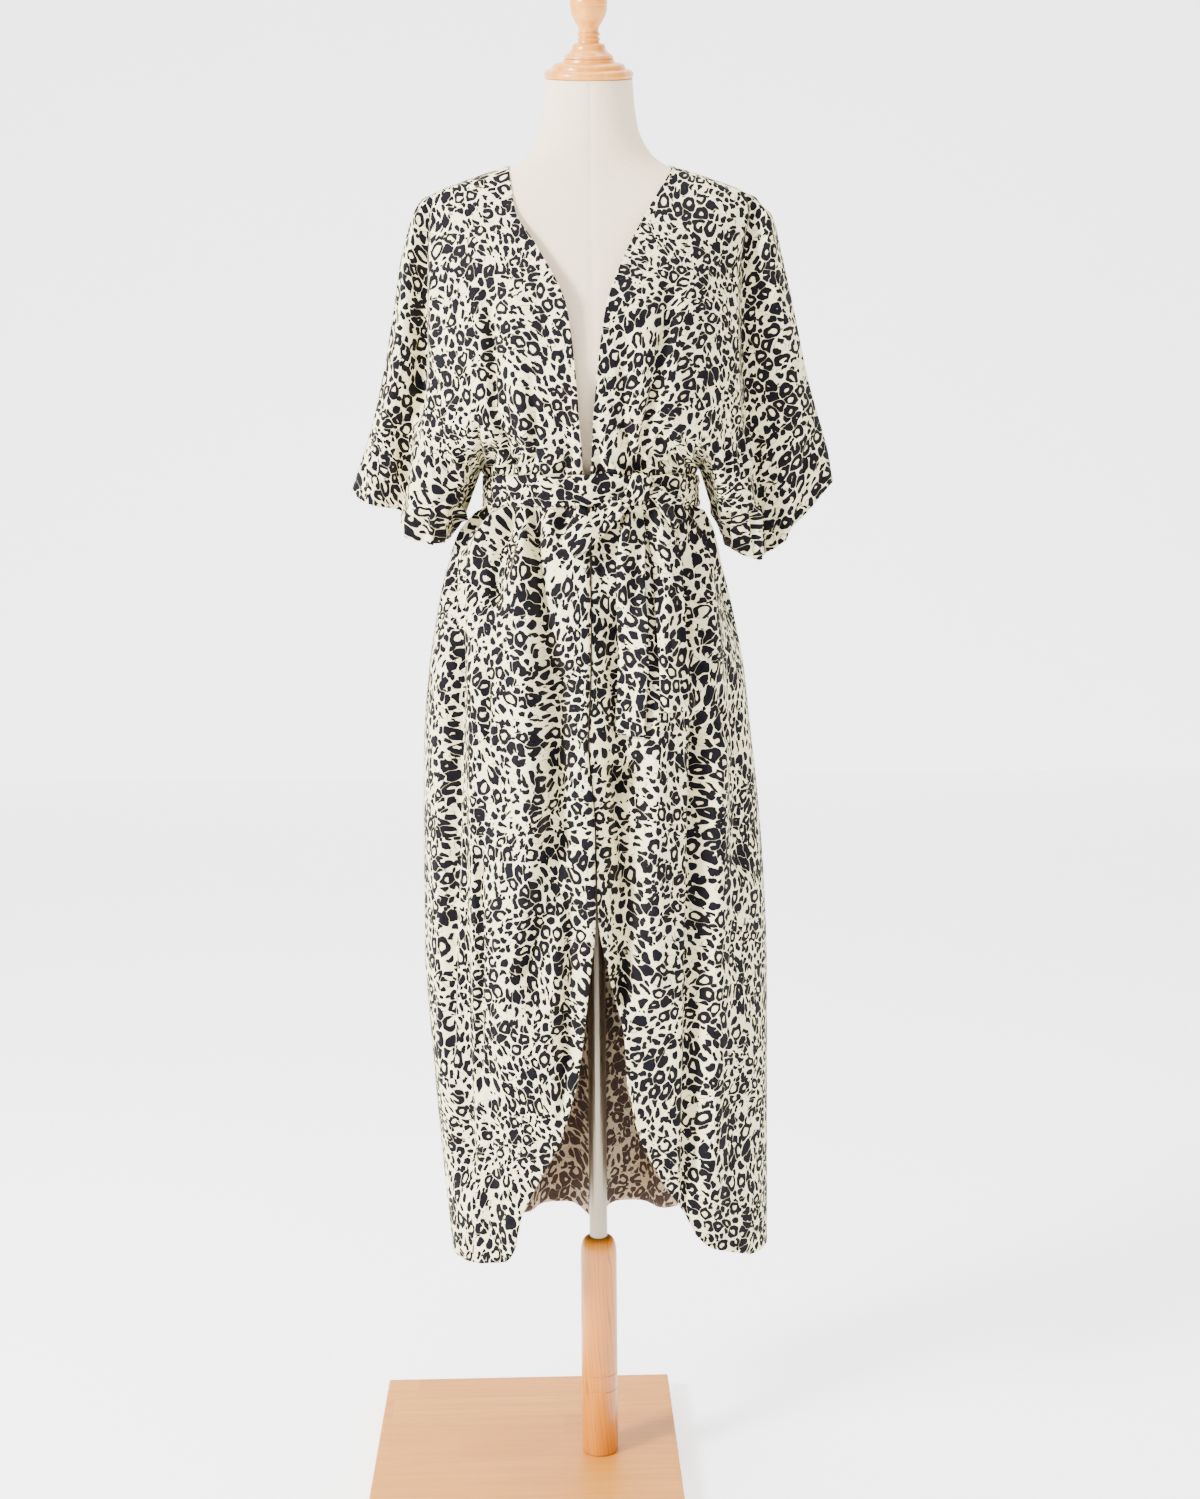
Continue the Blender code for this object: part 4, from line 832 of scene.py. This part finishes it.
def give_wall(piece, thickness):
    """The cloth's own thickness, on the inner side, whose faces take the second finish."""
    pick(piece)
    wall = piece.modifiers.new("wall", "SOLIDIFY")
    wall.thickness = thickness
    wall.offset = -1.0
    wall.material_offset = 1
    bpy.ops.object.modifier_apply(modifier="wall")


# Ivory crepe with a leopard print: upright rings, horseshoes and solid spots of soft black, up to
# 14 mm wide and 18 mm tall, with small beans of ink in the channels between them. Rings have a
# sand tint inside. The crepe is matt, with a fine pebble and a whisper of sheen at grazing angles.
# In millimetres: rosette to rosette, outline to the border with the next, largest half width,
# and bean to bean. Then the print's width over its height, and its scale.
CELL = 12.6
CHANNEL = 0.58
ROUND = 6.9
BEAN = 5.0
UPRIGHT = 0.80
ENLARGE = 1.05


def outline_at(tree, spot):
    """Millimetres from the outline of a place's rosette, its arm from the middle, its chances."""
    scaled = add(tree, "VectorMath MULTIPLY", {0: spot, 1: (1 / CELL, 1 / CELL, 0.0)})[0]
    cell = add(tree, "TexVoronoi", {"Vector": scaled, "Scale": 1.0, "Randomness": 0.86},
               voronoi_dimensions="2D", feature="F1")
    second = add(tree, "TexVoronoi", {"Vector": scaled, "Scale": 1.0, "Randomness": 0.86},
                 voronoi_dimensions="2D", feature="F2")[0]
    arm = add(tree, "VectorMath SUBTRACT", {0: scaled, 1: cell["Position"]})[0]
    arm = add(tree, "VectorMath MULTIPLY", {0: arm, 1: (CELL, CELL, 0.0)})[0]
    reach = add(tree, "VectorMath LENGTH", {0: arm})[1]
    rim = add(tree, "Math SUBTRACT", {0: cell["Distance"], 1: second})[0]
    rim = add(tree, "Math MULTIPLY_ADD", {0: rim, 1: CELL / 2, 2: CHANNEL})[0]
    round_off = add(tree, "Math SUBTRACT", {0: reach, 1: ROUND})[0]
    outline = add(tree, "Math SMOOTH_MAX", {0: rim, 1: round_off, 2: 2.4})[0]
    return outline, arm, add(tree, "SeparateColor", {"Color": cell["Color"]})


def rosette(tree, spot):
    """Millimetres from the ink at a place, less than nothing in the ink, and from the outline."""
    outline, arm, chance = outline_at(tree, spot)
    # By chance a ring opens to one side as a horseshoe, opens to both sides, or stays closed
    way = add(tree, "VectorMath NORMALIZE", {0: arm})[0]
    turn = add(tree, "Math MULTIPLY", {0: chance[2], 1: 44.0})[0]
    mouth = add(tree, "VectorRotate", {"Vector": (1.0, 0.0, 0.0), "Angle": turn},
                rotation_type="Z_AXIS")[0]
    facing = add(tree, "VectorMath DOT_PRODUCT", {0: way, 1: mouth})[1]
    kind = add(tree, "Math MODULO", {0: chance[1], 1: 0.2})[0]
    twice = add(tree, "Math GREATER_THAN", {0: kind, 1: 0.12})[0]
    other = add(tree, "Math ABSOLUTE", {0: facing})[0]
    other = add(tree, "Math MULTIPLY", {0: other, 1: twice})[0]
    facing = add(tree, "Math MAXIMUM", {0: facing, 1: other})[0]
    gap = add(tree, "MapRange", {0: kind, 1: 0.0, 2: 0.2, 3: 1.16, 4: 0.70})[0]
    left = add(tree, "Math SUBTRACT", {0: gap, 1: facing})[0]
    left = add(tree, "Math MULTIPLY", {0: left, 1: 6.0}, use_clamp=True)[0]
    left = add(tree, "Math SQRT", {0: left})[0]
    # Half a stroke's width, along the ring where it is not open
    stroke = add(tree, "MapRange", {0: chance[0], 3: 1.20, 4: 1.66})[0]
    band = add(tree, "Math ADD", {0: outline, 1: stroke})[0]
    band = add(tree, "Math ABSOLUTE", {0: band})[0]
    width = add(tree, "Math ADD", {0: stroke, 1: 0.35})[0]
    width = add(tree, "Math MULTIPLY_ADD", {0: left, 1: width, 2: -0.35})[0]
    ring = add(tree, "Math SUBTRACT", {0: band, 1: width})[0]
    # A few rosettes are solid
    solid = add(tree, "Math MODULO", {0: chance[0], 1: 0.11})[0]
    solid = add(tree, "Math LESS_THAN", {0: solid, 1: 0.007})[0]
    whole = add(tree, "Math ADD", {0: outline, 1: 2.1})[0]
    ink = add(tree, "Mix", {0: solid, 2: ring, 3: whole}, data_type="FLOAT")[0]
    # Beans lie where their middles are clear of every rosette
    fine = add(tree, "VectorMath MULTIPLY", {0: spot, 1: (1 / BEAN, 1 / BEAN, 0.0)})[0]
    seed = add(tree, "TexVoronoi", {"Vector": fine, "Scale": 1.0, "Randomness": 0.80},
               voronoi_dimensions="2D", feature="F1")
    centre = add(tree, "VectorMath MULTIPLY", {0: seed["Position"], 1: (BEAN, BEAN, 0.0)})[0]
    free = outline_at(tree, centre)[0]
    size = add(tree, "MapRange", {0: free, 1: 0.4, 2: 2.4, 3: -1.0, 4: 2.3})[0]
    bean = add(tree, "Math MULTIPLY", {0: seed["Distance"], 1: BEAN})[0]
    bean = add(tree, "Math SUBTRACT", {0: bean, 1: size})[0]
    ink = add(tree, "Math MINIMUM", {0: ink, 1: bean})[0]
    return ink, outline


def leopard(tree, ground, sand, edge, core):
    """The print's colour over the flat pattern, with the ink drawn half a millimetre wider."""
    flat = add(tree, "UVMap", {}, uv_map="flat")[0]
    wide = 1000.0 / ENLARGE
    spot = add(tree, "VectorMath MULTIPLY", {0: flat, 1: (wide, wide * UPRIGHT, 0.0)})[0]
    for scale, far in ((0.012, 22.0), (0.055, 5.2), (0.19, 2.8)):
        drift = add(tree, "TexNoise", {"Vector": spot, "Scale": scale, "Detail": 0.0},
                    noise_dimensions="2D")[1]
        drift = add(tree, "VectorMath SUBTRACT", {0: drift, 1: (0.5, 0.5, 0.0)})[0]
        spot = add(tree, "VectorMath MULTIPLY_ADD", {0: drift, 1: (far, far, 0.0), 2: spot})[0]
    depth, outline = rosette(tree, spot)
    dark = add(tree, "MapRange", {0: depth, 1: 0.34, 2: 0.66, 3: 1.0, 4: 0.0},
               interpolation_type="SMOOTHSTEP")[0]
    tint = add(tree, "MapRange", {0: outline, 1: -3.2, 2: -2.0, 3: 0.4, 4: 0.0},
               interpolation_type="SMOOTHSTEP")[0]
    paper = add(tree, "Mix", {0: tint, 6: linear(ground), 7: linear(sand)}, data_type="RGBA")[2]
    middle = add(tree, "MapRange", {0: depth, 1: -0.8, 2: 0.2, 3: 1.0, 4: 0.0})[0]
    ink = add(tree, "Mix", {0: middle, 6: linear(edge), 7: linear(core)}, data_type="RGBA")[2]
    return add(tree, "Mix", {0: dark, 6: paper, 7: ink}, data_type="RGBA")[2]


def crepe(name, roughness, colours):
    """Crepe printed in the colours of its ground, its sand, and the ink's edge and core."""
    finish, tree, shader = new_finish(name, roughness)
    tree.links.new(leopard(tree, *colours), shader.inputs["Base Color"])
    flat = add(tree, "UVMap", {}, uv_map="flat")[0]
    pebble = add(tree, "TexNoise", {"Vector": flat, "Scale": 1400.0, "Detail": 2.0},
                 noise_dimensions="2D")[0]
    soft = add(tree, "TexNoise", {"Vector": flat, "Scale": 130.0, "Detail": 2.0},
               noise_dimensions="2D")[0]
    height = add(tree, "Math MULTIPLY_ADD", {0: soft, 1: 1.5, 2: pebble})[0]
    relief = add(tree, "Bump", {"Strength": 0.3, "Distance": 0.0004, "Height": height})[0]
    tree.links.new(relief, shader.inputs["Normal"])
    shader.inputs["Sheen Weight"].default_value = 0.02
    shader.inputs["Specular IOR Level"].default_value = 0.08
    return finish


printed_crepe = crepe("printed_crepe", 0.78, ("#F4E9BE", "#EFD9A2", "#08060B", "#100E15"))
# The wrong side: ink struck through only in part, on a darker beige ground that is painted shade
reverse_print_painted_shade = crepe("crepe_reverse_print_painted_shade", 0.85, ("#B5A589", "#AD9B7C", "#372B27", "#40332E"))

front_columns = np.concatenate([np.linspace(0, 3, 89), np.linspace(3, 9, 49)[1:]])
front_steps = np.linspace(0, 8, 97)
front_heights = np.linspace(WAIST, HEM, 241)[1:]
fronts = {}
for side, name, node, turn in ((-1, "front_right", "coat_front_right", 0.0),
                               (1, "front_left", "coat_front_left", 1.0)):
    points, cloth = half_panel(side, False, front_columns, front_steps, front_heights)
    front = sew_panel(name, points, cloth, front_columns, front_steps, False, FRONT_FOLDS, turn,
                      (printed_crepe, reverse_print_painted_shade))
    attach(front, "root")
    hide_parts(node)
    fronts[side] = front


# ---- The coat's back -------------------------------------------------------------------------
# The same crepe, cut in one piece with both back half sleeves. It hangs from the shoulders and
# is drawn in by the sash, with deep folds down the middle and both sides.
BACK_FOLDS = plain_folds((
    (-120, 1470, -88, 1290, 13, -8), (116, 1480, 84, 1290, 13, -8),
    (-40, 1400, -46, 1290, 12, -6), (44, 1390, 40, 1290, 12, -6), (-5, 1200, -4, 650, 20, -28),
    (-4, 660, -4, 250, 19, -70), (-72, 1210, -88, 760, 16, -21), (-88, 780, -100, 300, 20, -38),
    (70, 1210, 86, 800, 16, -21), (86, 820, 92, 300, 20, -34), (-132, 1200, -150, 520, 15, -21),
    (128, 1190, 150, 480, 15, -21),
)) + creases((
    (((-30, 1215), (-34, 1120), (-40, 1010)), 4.5, 6, -6, 30),
    (((30, 1215), (36, 1130), (38, 1000)), 6, 4.5, -6, 30),
    (((-108, 1210), (-118, 1100), (-122, 930)), 4.5, 5, -6.3, 30),
    (((102, 1210), (116, 1110), (120, 900)), 5, 4.5, -6.3, 30),
    (((-52, 900), (-56, 700), (-58, 480)), 5, 6, -7.5, 50),
    (((50, 880), (54, 680), (56, 500)), 6, 5, -7.5, 50),
    (((-172, 1150), (-178, 900), (-180, 600)), 5, 5, -6.7, 50),
    (((160, 1150), (172, 900), (178, 560)), 5, 5, -6.7, 50),
    (((-20, 1350), (-24, 1280)), 4, 4.5, -4.2, 20), (((62, 1360), (58, 1275)), 4.5, 4, -4.2, 20),
    (((-94, 1350), (-80, 1275)), 4, 4.5, -4.5, 20),
))
half = np.concatenate([np.linspace(-2, 0, 17)[:-1], np.linspace(0, 3, 53),
                       np.linspace(3, 9, 33)[1:]])
back_steps = np.linspace(0, 8, 73)
back_heights = np.linspace(WAIST, HEM, 193)[1:]
left, cloth_left = half_panel(-1, True, half, back_steps, back_heights)
right, cloth_right = half_panel(1, True, half, back_steps, back_heights)
points = np.concatenate([left[:, ::-1], right[:, 1:]], axis=1)
points[:, len(half) - 1, 0] = 0.0
cloth = np.concatenate([cloth_left[:, ::-1], cloth_right[:, 1:]], axis=1)
coat_back = sew_panel("back", points, cloth, np.concatenate([half[::-1], half[1:]]), back_steps,
                      True, BACK_FOLDS, 2.0, (printed_crepe, reverse_print_painted_shade))
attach(coat_back, "root")
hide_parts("coat_back")


# ---- Sash band -------------------------------------------------------------------------------
# The sash is a strip of the same crepe, folded lengthwise to 36 mm. It goes once round the waist
# over the coat, pulled in so that it wrinkles along its length.

def cloth_tree(pieces):
    """A search tree of the pieces' faces."""
    points, faces = [], []
    for piece in pieces:
        start = len(points)
        points += [vertex.co.copy() for vertex in piece.data.vertices]
        faces += [[start + i for i in face.vertices] for face in piece.data.polygons]
    return BVHTree.FromPolygons(points, faces)


def strip_cells(rows, columns, ring=False):
    """Cells of a grid of points numbered row by row."""
    number = np.arange(rows * columns).reshape(rows, columns)
    if ring:
        number = np.concatenate([number, number[:, :1]], axis=1)
    return np.stack([number[:-1, :-1], number[1:, :-1], number[1:, 1:], number[:-1, 1:]],
                    axis=2).reshape(-1, 4)


coat_tree = cloth_tree([fronts[-1], fronts[1], coat_back])
BAND_ROWS = 15
BAND_SIDES = 420
BAND_WALL = 0.0020
# How far the band overlaps the waist up and down, lies off the coat, leans from row to row and
# wrinkles, and where its strip begins
BAND_LAP = 0.0005
BAND_OUT = 0.0010
BAND_LEAN = 0.002
BAND_WRINKLE = 0.0028
BAND_START = 0.46
turn = np.linspace(0, 2 * np.pi, BAND_SIDES, endpoint=False) + BAND_START
levels = np.linspace(BELT_TOP + BAND_LAP, BELT_BOTTOM - BAND_LAP, BAND_ROWS)
reach = np.zeros((BAND_ROWS, BAND_SIDES))
for r, z in enumerate(levels):
    for i, angle in enumerate(turn):
        way = Vector((math.sin(angle), -math.cos(angle), 0.0))
        hit = coat_tree.ray_cast(Vector((0.0, 0.0, z)), way)[0]
        reach[r, i] = math.hypot(hit.x, hit.y) + 1.3 * WALL if hit and hit.length < 2 else 0.0
# Rays that pass through the opening take the reach of their neighbours
wide = np.max([np.roll(reach, k, axis=1) for k in range(-6, 7)], axis=0)
reach = np.where(reach == 0, wide, reach)
wide = np.max([np.roll(reach, k, axis=1) for k in range(-2, 3)], axis=0)
wide = np.maximum(wide, wide.max(axis=0) - BAND_LEAN)
for _ in range(3):
    wide = (np.roll(wide, 1, axis=1) + 2 * wide + np.roll(wide, -1, axis=1)) / 4
share = np.linspace(-1, 1, BAND_ROWS)[:, None]
arc = turn[None, :]
wrinkle = (np.sin(8.5 * share + 2.2 * np.sin(arc * 3 + 0.4) + arc * 2)
           + 0.7 * np.sin(14 * share + 3 * np.sin(arc * 2 + 1.1) - arc * 5)
           + 0.5 * np.sin(5 * share + arc * 11))
wrinkle = (wrinkle + 2.2) / 4.4 * (1 - np.abs(share) ** 6)
reach = wide + BAND_OUT + BAND_WALL + BAND_WRINKLE * wrinkle
level = levels[:, None] + 0.0010 * np.sin(arc * 7 + 1) * np.abs(share) + 0.0007 * np.sin(arc * 17)
points = np.stack([reach * np.sin(turn), -reach * np.cos(turn), level * np.ones_like(reach)], 2)
cells = strip_cells(BAND_ROWS, BAND_SIDES, True)
band = put_mesh("sash_round_waist", points.reshape(-1, 3), cells)
length = np.append(0, np.cumsum(np.hypot(*np.diff(points[0, :, :2], axis=0).T)))
lay_flat(band, np.stack([np.repeat(levels, BAND_SIDES), np.tile(length, BAND_ROWS)], 1) + 0.11)
band.data.materials.append(printed_crepe)
band.data.materials.append(printed_crepe)
give_wall(band, BAND_WALL)
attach(band, "root")
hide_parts("sash_band")


# ---- The sash's bow and ends -----------------------------------------------------------------
# The strip's ends are tied in a small tight knot at the wearer's left of the opening, with one
# long limp loop, one short loop and two ends that hang down the skirt.
KNOT = (0.050, 1.2465)
KNOT_SIZE = (0.0145, 0.0090, 0.0185)
KNOT_TIP = math.radians(12)
KNOT_AHEAD = 0.0012
STRIP_WALL = 0.0017
STRIP_CLEAR = 0.0007
# The hanging ends' long fold, its ripple, how far they stand off and how far they sway
END_FOLD = 0.0028
END_RIPPLE = 0.0012
END_OFF = 0.0042
END_SWAY = 0.0018
# The loops' sag, the room between their two layers, and their creases
LOOP_SAG = 0.0025
LOOP_ROOM = 0.0030
LOOP_CREASE = 0.0011


def front_of(tree, x, z):
    """The y of the foremost cloth at places of the front view."""
    deep = np.zeros(np.shape(x))
    for at in np.ndindex(deep.shape):
        hit = tree.ray_cast(Vector((float(x[at]), -1.0, float(z[at]))), Vector((0.0, 1.0, 0.0)))[0]
        deep[at] = hit.y if hit else 0.1
    return deep


def spread_strip(route, widths, rows, columns):
    """The x and z of a strip laid along a route: rows along it, columns across, and its length."""
    along = np.linspace(0, len(route) - 1, rows)
    line = smooth_curve(range(len(route)), route, along)
    run = np.gradient(line, axis=0)
    run /= np.linalg.norm(run, axis=1)[:, None]
    share = np.linspace(-0.5, 0.5, columns)[None, :]
    wide = smooth_curve(np.linspace(0, 1, len(widths)), widths, np.linspace(0, 1, rows))[:, None]
    x = line[:, 0, None] - run[:, 1, None] * share * wide
    z = line[:, 1, None] + run[:, 0, None] * share * wide
    length = np.append(0, np.cumsum(np.hypot(*np.diff(line, axis=0).T)))
    return x, z, share * wide, length[:, None] * np.ones_like(x)


def drape_over(deep, soft):
    """A strip's y: as far forward as all that lies just behind it, and smooth."""
    edge = np.pad(deep, 2, mode="edge")
    rows, columns = deep.shape
    near = np.min([edge[i:i + rows, j:j + columns] for i in range(5) for j in range(5)], axis=0)
    for _ in range(soft):
        edge = np.pad(near, 1, mode="edge")
        near = (4 * near + edge[:-2, 1:-1] + edge[2:, 1:-1] + edge[1:-1, :-2] + edge[1:-1, 2:]) / 8
    return near


def finish_strip(name, points, across, along, node, shift):
    """A sash piece from its outer points: pattern, wall, finish and what it stands for."""
    rows, columns = points.shape[:2]
    spots = points.reshape(-1, 3)
    cells = strip_cells(rows, columns)
    if outward(spots, cells)[:, 1].sum() > 0:
        cells = cells[:, ::-1]
    piece = put_mesh(name, spots, cells)
    lay_flat(piece, np.stack([across.ravel(), along.ravel()], 1) + shift)
    piece.data.materials.append(printed_crepe)
    piece.data.materials.append(printed_crepe)
    give_wall(piece, STRIP_WALL)
    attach(piece, "root")
    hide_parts(node)
    return piece


def hang_end(name, route, widths, pieces, node, shift, wave):
    """One hanging end of the sash, lying on the skirt and waving a little."""
    tree = cloth_tree(pieces)
    x, z, across, along = spread_strip(route, widths, 110, 13)
    y = drape_over(front_of(tree, x, z), 6) - STRIP_CLEAR - STRIP_WALL
    share = across / across.max()
    fold = np.sin(share * 4.2 + wave + along * 9) * END_FOLD
    fold = fold + np.sin(along * 46 + wave) * END_RIPPLE
    y = y - (fold + END_OFF) * np.clip(along / 0.03, 0, 1)
    x = x + np.sin(along * 31 + wave) * END_SWAY * np.clip(along / 0.05, 0, 1)
    return finish_strip(name, np.stack([x, y, z], 2), across, along, node,
                        shift)


low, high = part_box("sash_knot")
knot_y = (low[1] + high[1]) / 2
TAIL_SHORT = metres(((59, 1233), (74, 1195), (84, 1150), (87, 1080), (86.5, 994)))
TAIL_LONG = metres(((47.5, 1232), (43, 1190), (40, 1120), (40, 1040), (39.5, 966)))
TAIL_WIDTHS = metres((13, 27, 33, 34, 34, 34))
under = [fronts[-1], fronts[1], band]
for name, route, node, shift, wave in (
        ("sash_end_short", TAIL_SHORT, "sash_tail_short", 0.51, 0.8),
        ("sash_end_long", TAIL_LONG, "sash_tail_long", 0.73, 2.6)):
    under.append(hang_end(name, route, TAIL_WIDTHS, under, node, shift, wave))


def tie_loop(name, route, width, puff, slip, node, shift):
    """One loop of the bow: out from the knot on the cloth, round its tip and back in front."""
    tree = cloth_tree(under)
    rows, columns = 97, 15
    t = np.linspace(0, 1, rows)
    out = np.sin(np.pi * t) ** 0.9
    line = smooth_curve(np.linspace(0, 1, len(route)), route, out)
    straight = np.array(route[-1]) - np.array(route[0])
    straight /= np.linalg.norm(straight)
    share = np.linspace(-0.5, 0.5, columns)[None, :]
    wide = width * (0.34 + 0.66 * np.clip(out / 0.55, 0, 1) ** 0.8) * (1 - 0.16 * out ** 6)
    forward = np.clip((t - 0.42) / 0.16, 0, 1)
    forward = (forward * forward * (3 - 2 * forward))[:, None]
    shift_down = slip * forward * np.sin(np.pi * np.clip(t, 0, 1))[:, None]
    place = share * wide[:, None] + shift_down
    sag = LOOP_SAG * np.sin(out[:, None] * 7 + share * 3) * out[:, None]
    x = line[:, 0, None] - straight[1] * place + straight[0] * sag
    z = line[:, 1, None] + straight[0] * place + straight[1] * sag
    behind = drape_over(front_of(tree, x, z), 5) - STRIP_CLEAR - 2 * STRIP_WALL
    behind = np.minimum(behind, behind[::-1])
    ridge = np.sin(share * 15 + 2.1 * out[:, None] + 5 * shift) * (1.1 - 0.5 * out[:, None])
    ridge = ridge + 0.7 * np.sin(share * 8 - out[:, None] * 9)
    lift = puff * np.sin(np.pi * np.clip((t - 0.40) / 0.60, 0, 1)) ** 0.7
    lift = lift[:, None] * (1 - (2 * share) ** 4 * 0.35)
    y = behind - LOOP_ROOM * forward - lift - LOOP_CREASE * (ridge + 1.7)
    along = np.append(0, np.cumsum(np.hypot(*np.diff(line, axis=0).T)))[:, None] * np.ones_like(x)
    return finish_strip(name, np.stack([x, y, z], 2), share * wide[:, None], along, node,
                        shift)


LOOP_LEFT = metres(((42, 1242), (26, 1228), (4, 1208), (-16, 1191), (-29, 1180)))
LOOP_RIGHT = metres(((59, 1246), (71.5, 1242), (81, 1234), (91, 1221), (98, 1208)))
tie_loop("sash_loop_long", LOOP_LEFT, 0.029, 0.0105, -0.004, "sash_loop_right", 0.19)
tie_loop("sash_loop_short", LOOP_RIGHT, 0.026, 0.0080, 0.004, "sash_loop_left", 0.87)

rows, columns = 41, 72
tall = np.linspace(-np.pi / 2, np.pi / 2, rows)[:, None]
angle = np.linspace(0, 2 * np.pi, columns, endpoint=False)[None, :]
pleat = (1 + 0.075 * np.sin(angle * 7 + tall * 1.6) * np.cos(tall)
         + 0.04 * np.sin(angle * 12 - tall * 2))
pinch = 1 - 0.20 * np.exp(-((tall - 0.25) / 0.30) ** 2)
body = np.cos(tall) ** 0.75 * pleat * pinch
x = KNOT_SIZE[0] * body * np.sin(angle)
y = -KNOT_SIZE[1] * body * np.cos(angle)
z = KNOT_SIZE[2] * np.sin(tall) * (1 + 0.03 * np.sin(angle * 3))
cosine, sine = math.cos(KNOT_TIP), math.sin(KNOT_TIP)
x, z = x * cosine + z * sine, z * cosine - x * sine
points = np.stack([x + KNOT[0], y + knot_y - KNOT_AHEAD, z + KNOT[1]], 2)
poles = points[[0, -1]].mean(axis=1)
spots = np.concatenate([points[1:-1].reshape(-1, 3), poles])
cells = strip_cells(rows - 2, columns, True).tolist()
last = (rows - 3) * columns
cells += [[i, (i + 1) % columns, len(spots) - 2] for i in range(columns)]
cells += [[last + (i + 1) % columns, last + i, len(spots) - 1] for i in range(columns)]
knot = put_mesh("sash_knot_wrap", spots, cells)
pick(knot)
bpy.ops.object.mode_set(mode="EDIT")
bpy.ops.mesh.select_all(action="SELECT")
bpy.ops.mesh.normals_make_consistent(inside=False)
bpy.ops.object.mode_set(mode="OBJECT")
lay_flat(knot, spots[:, [0, 2]] + 0.31)
knot.data.materials.append(printed_crepe)
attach(knot, "root")
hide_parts("sash_knot")


# ---- Floor, light and camera -----------------------------------------------------------------
# A white studio sweep that glows a little, a strong key from the front left, a weak broad fill
# from the right, a soft box overhead and an even white surround. The camera stands where the
# photograph's perspective puts it.
bpy.ops.object.select_all(action="DESELECT")
bpy.ops.mesh.primitive_plane_add(size=30.0, location=(0.0, 0.0, 0.0))
floor = bpy.context.object
floor.name = "studio_floor"
bpy.ops.object.mode_set(mode="EDIT")
bpy.ops.mesh.subdivide(number_cuts=6)
bpy.ops.object.mode_set(mode="OBJECT")
painted_floor, tree, shader = new_finish("white_sweep", 0.9)
place = add(tree, "TexCoord", {})["Object"]
mottle = add(tree, "TexNoise", {"Vector": place, "Scale": 3.0, "Detail": 2.0})[0]
paint = add(tree, "Mix", {0: mottle, 6: linear("#FFFFFF"), 7: linear("#FBFBFA")},
            data_type="RGBA")[2]
tree.links.new(paint, shader.inputs["Base Color"])
shader.inputs["Emission Color"].default_value = linear("#FFFFFF")
shader.inputs["Emission Strength"].default_value = 1.5
bpy.ops.mesh.primitive_plane_add(
    size=30.0, location=(0.0, 6.0, 0.0), rotation=(math.radians(90), 0.0, 0.0)
)
backdrop = bpy.context.object
backdrop.name = "studio_backdrop"
for sweep in (floor, backdrop):
    sweep.data.materials.append(painted_floor)

world = bpy.data.worlds.new("white_surround")
bpy.context.scene.world = world
world.use_nodes = True
world.node_tree.nodes["Background"].inputs["Color"].default_value = (1.0, 1.0, 1.0, 1.0)
world.node_tree.nodes["Background"].inputs["Strength"].default_value = 0.75


def soft_light(name, spot, aim, size, power):
    """A square soft box."""
    lamp = bpy.data.lights.new(name, "AREA")
    lamp.size = size
    lamp.energy = power
    item = bpy.data.objects.new(name, lamp)
    item.location = spot
    item.rotation_euler = (Vector(aim) - Vector(spot)).to_track_quat("-Z", "Y").to_euler()
    bpy.context.scene.collection.objects.link(item)


soft_light("key", (-3.0, -1.9, 2.5), (0.0, 0.0, 1.0), 0.9, 430)
soft_light("fill", (2.6, -2.4, 1.6), (0.0, 0.0, 0.9), 2.2, 15)
soft_light("top", (0.0, -0.3, 4.2), (0.0, 0.0, 0.0), 2.6, 190)

# How far off the camera stands and how high above the plate, as a share of that. In pixels: its
# focal length, its picture, how far it looks down and how far it stands aside. The sensor is in
# millimetres.
DISTANCE = 2.30
EYE_SHARE = 0.531
FOCAL = 1900.0
PICTURE_HEIGHT = 1499
LOOK_DOWN = 259.5
ASIDE = 5.6
SENSOR = 36.0
pitch = math.atan(LOOK_DOWN / FOCAL)
yaw = math.radians(1.6)
roll = math.radians(-0.46)
level = math.cos(pitch)
ahead = Vector((math.sin(yaw) * level, math.cos(yaw) * level, -math.sin(pitch)))
right = Vector((math.cos(yaw), -math.sin(yaw), 0.0))
up = right.cross(ahead)
spot = Vector((-math.sin(yaw) * DISTANCE, -math.cos(yaw) * DISTANCE,
               BASE_THICK + EYE_SHARE * DISTANCE))
spot += right * (ASIDE / FOCAL * DISTANCE)
lens = bpy.data.cameras.new("photo_camera")
lens.sensor_fit = "VERTICAL"
lens.sensor_height = SENSOR
lens.lens = FOCAL / PICTURE_HEIGHT * SENSOR
camera = bpy.data.objects.new("photo_camera", lens)
bpy.context.scene.collection.objects.link(camera)
turned_right = right * math.cos(roll) + up * math.sin(roll)
turned_up = up * math.cos(roll) - right * math.sin(roll)
frame_axes = camera.matrix_world.to_3x3()
for i in range(3):
    frame_axes[i] = (turned_right[i], turned_up[i], -ahead[i])
camera.matrix_world = frame_axes.to_4x4()
camera.location = spot
bpy.context.scene.camera = camera
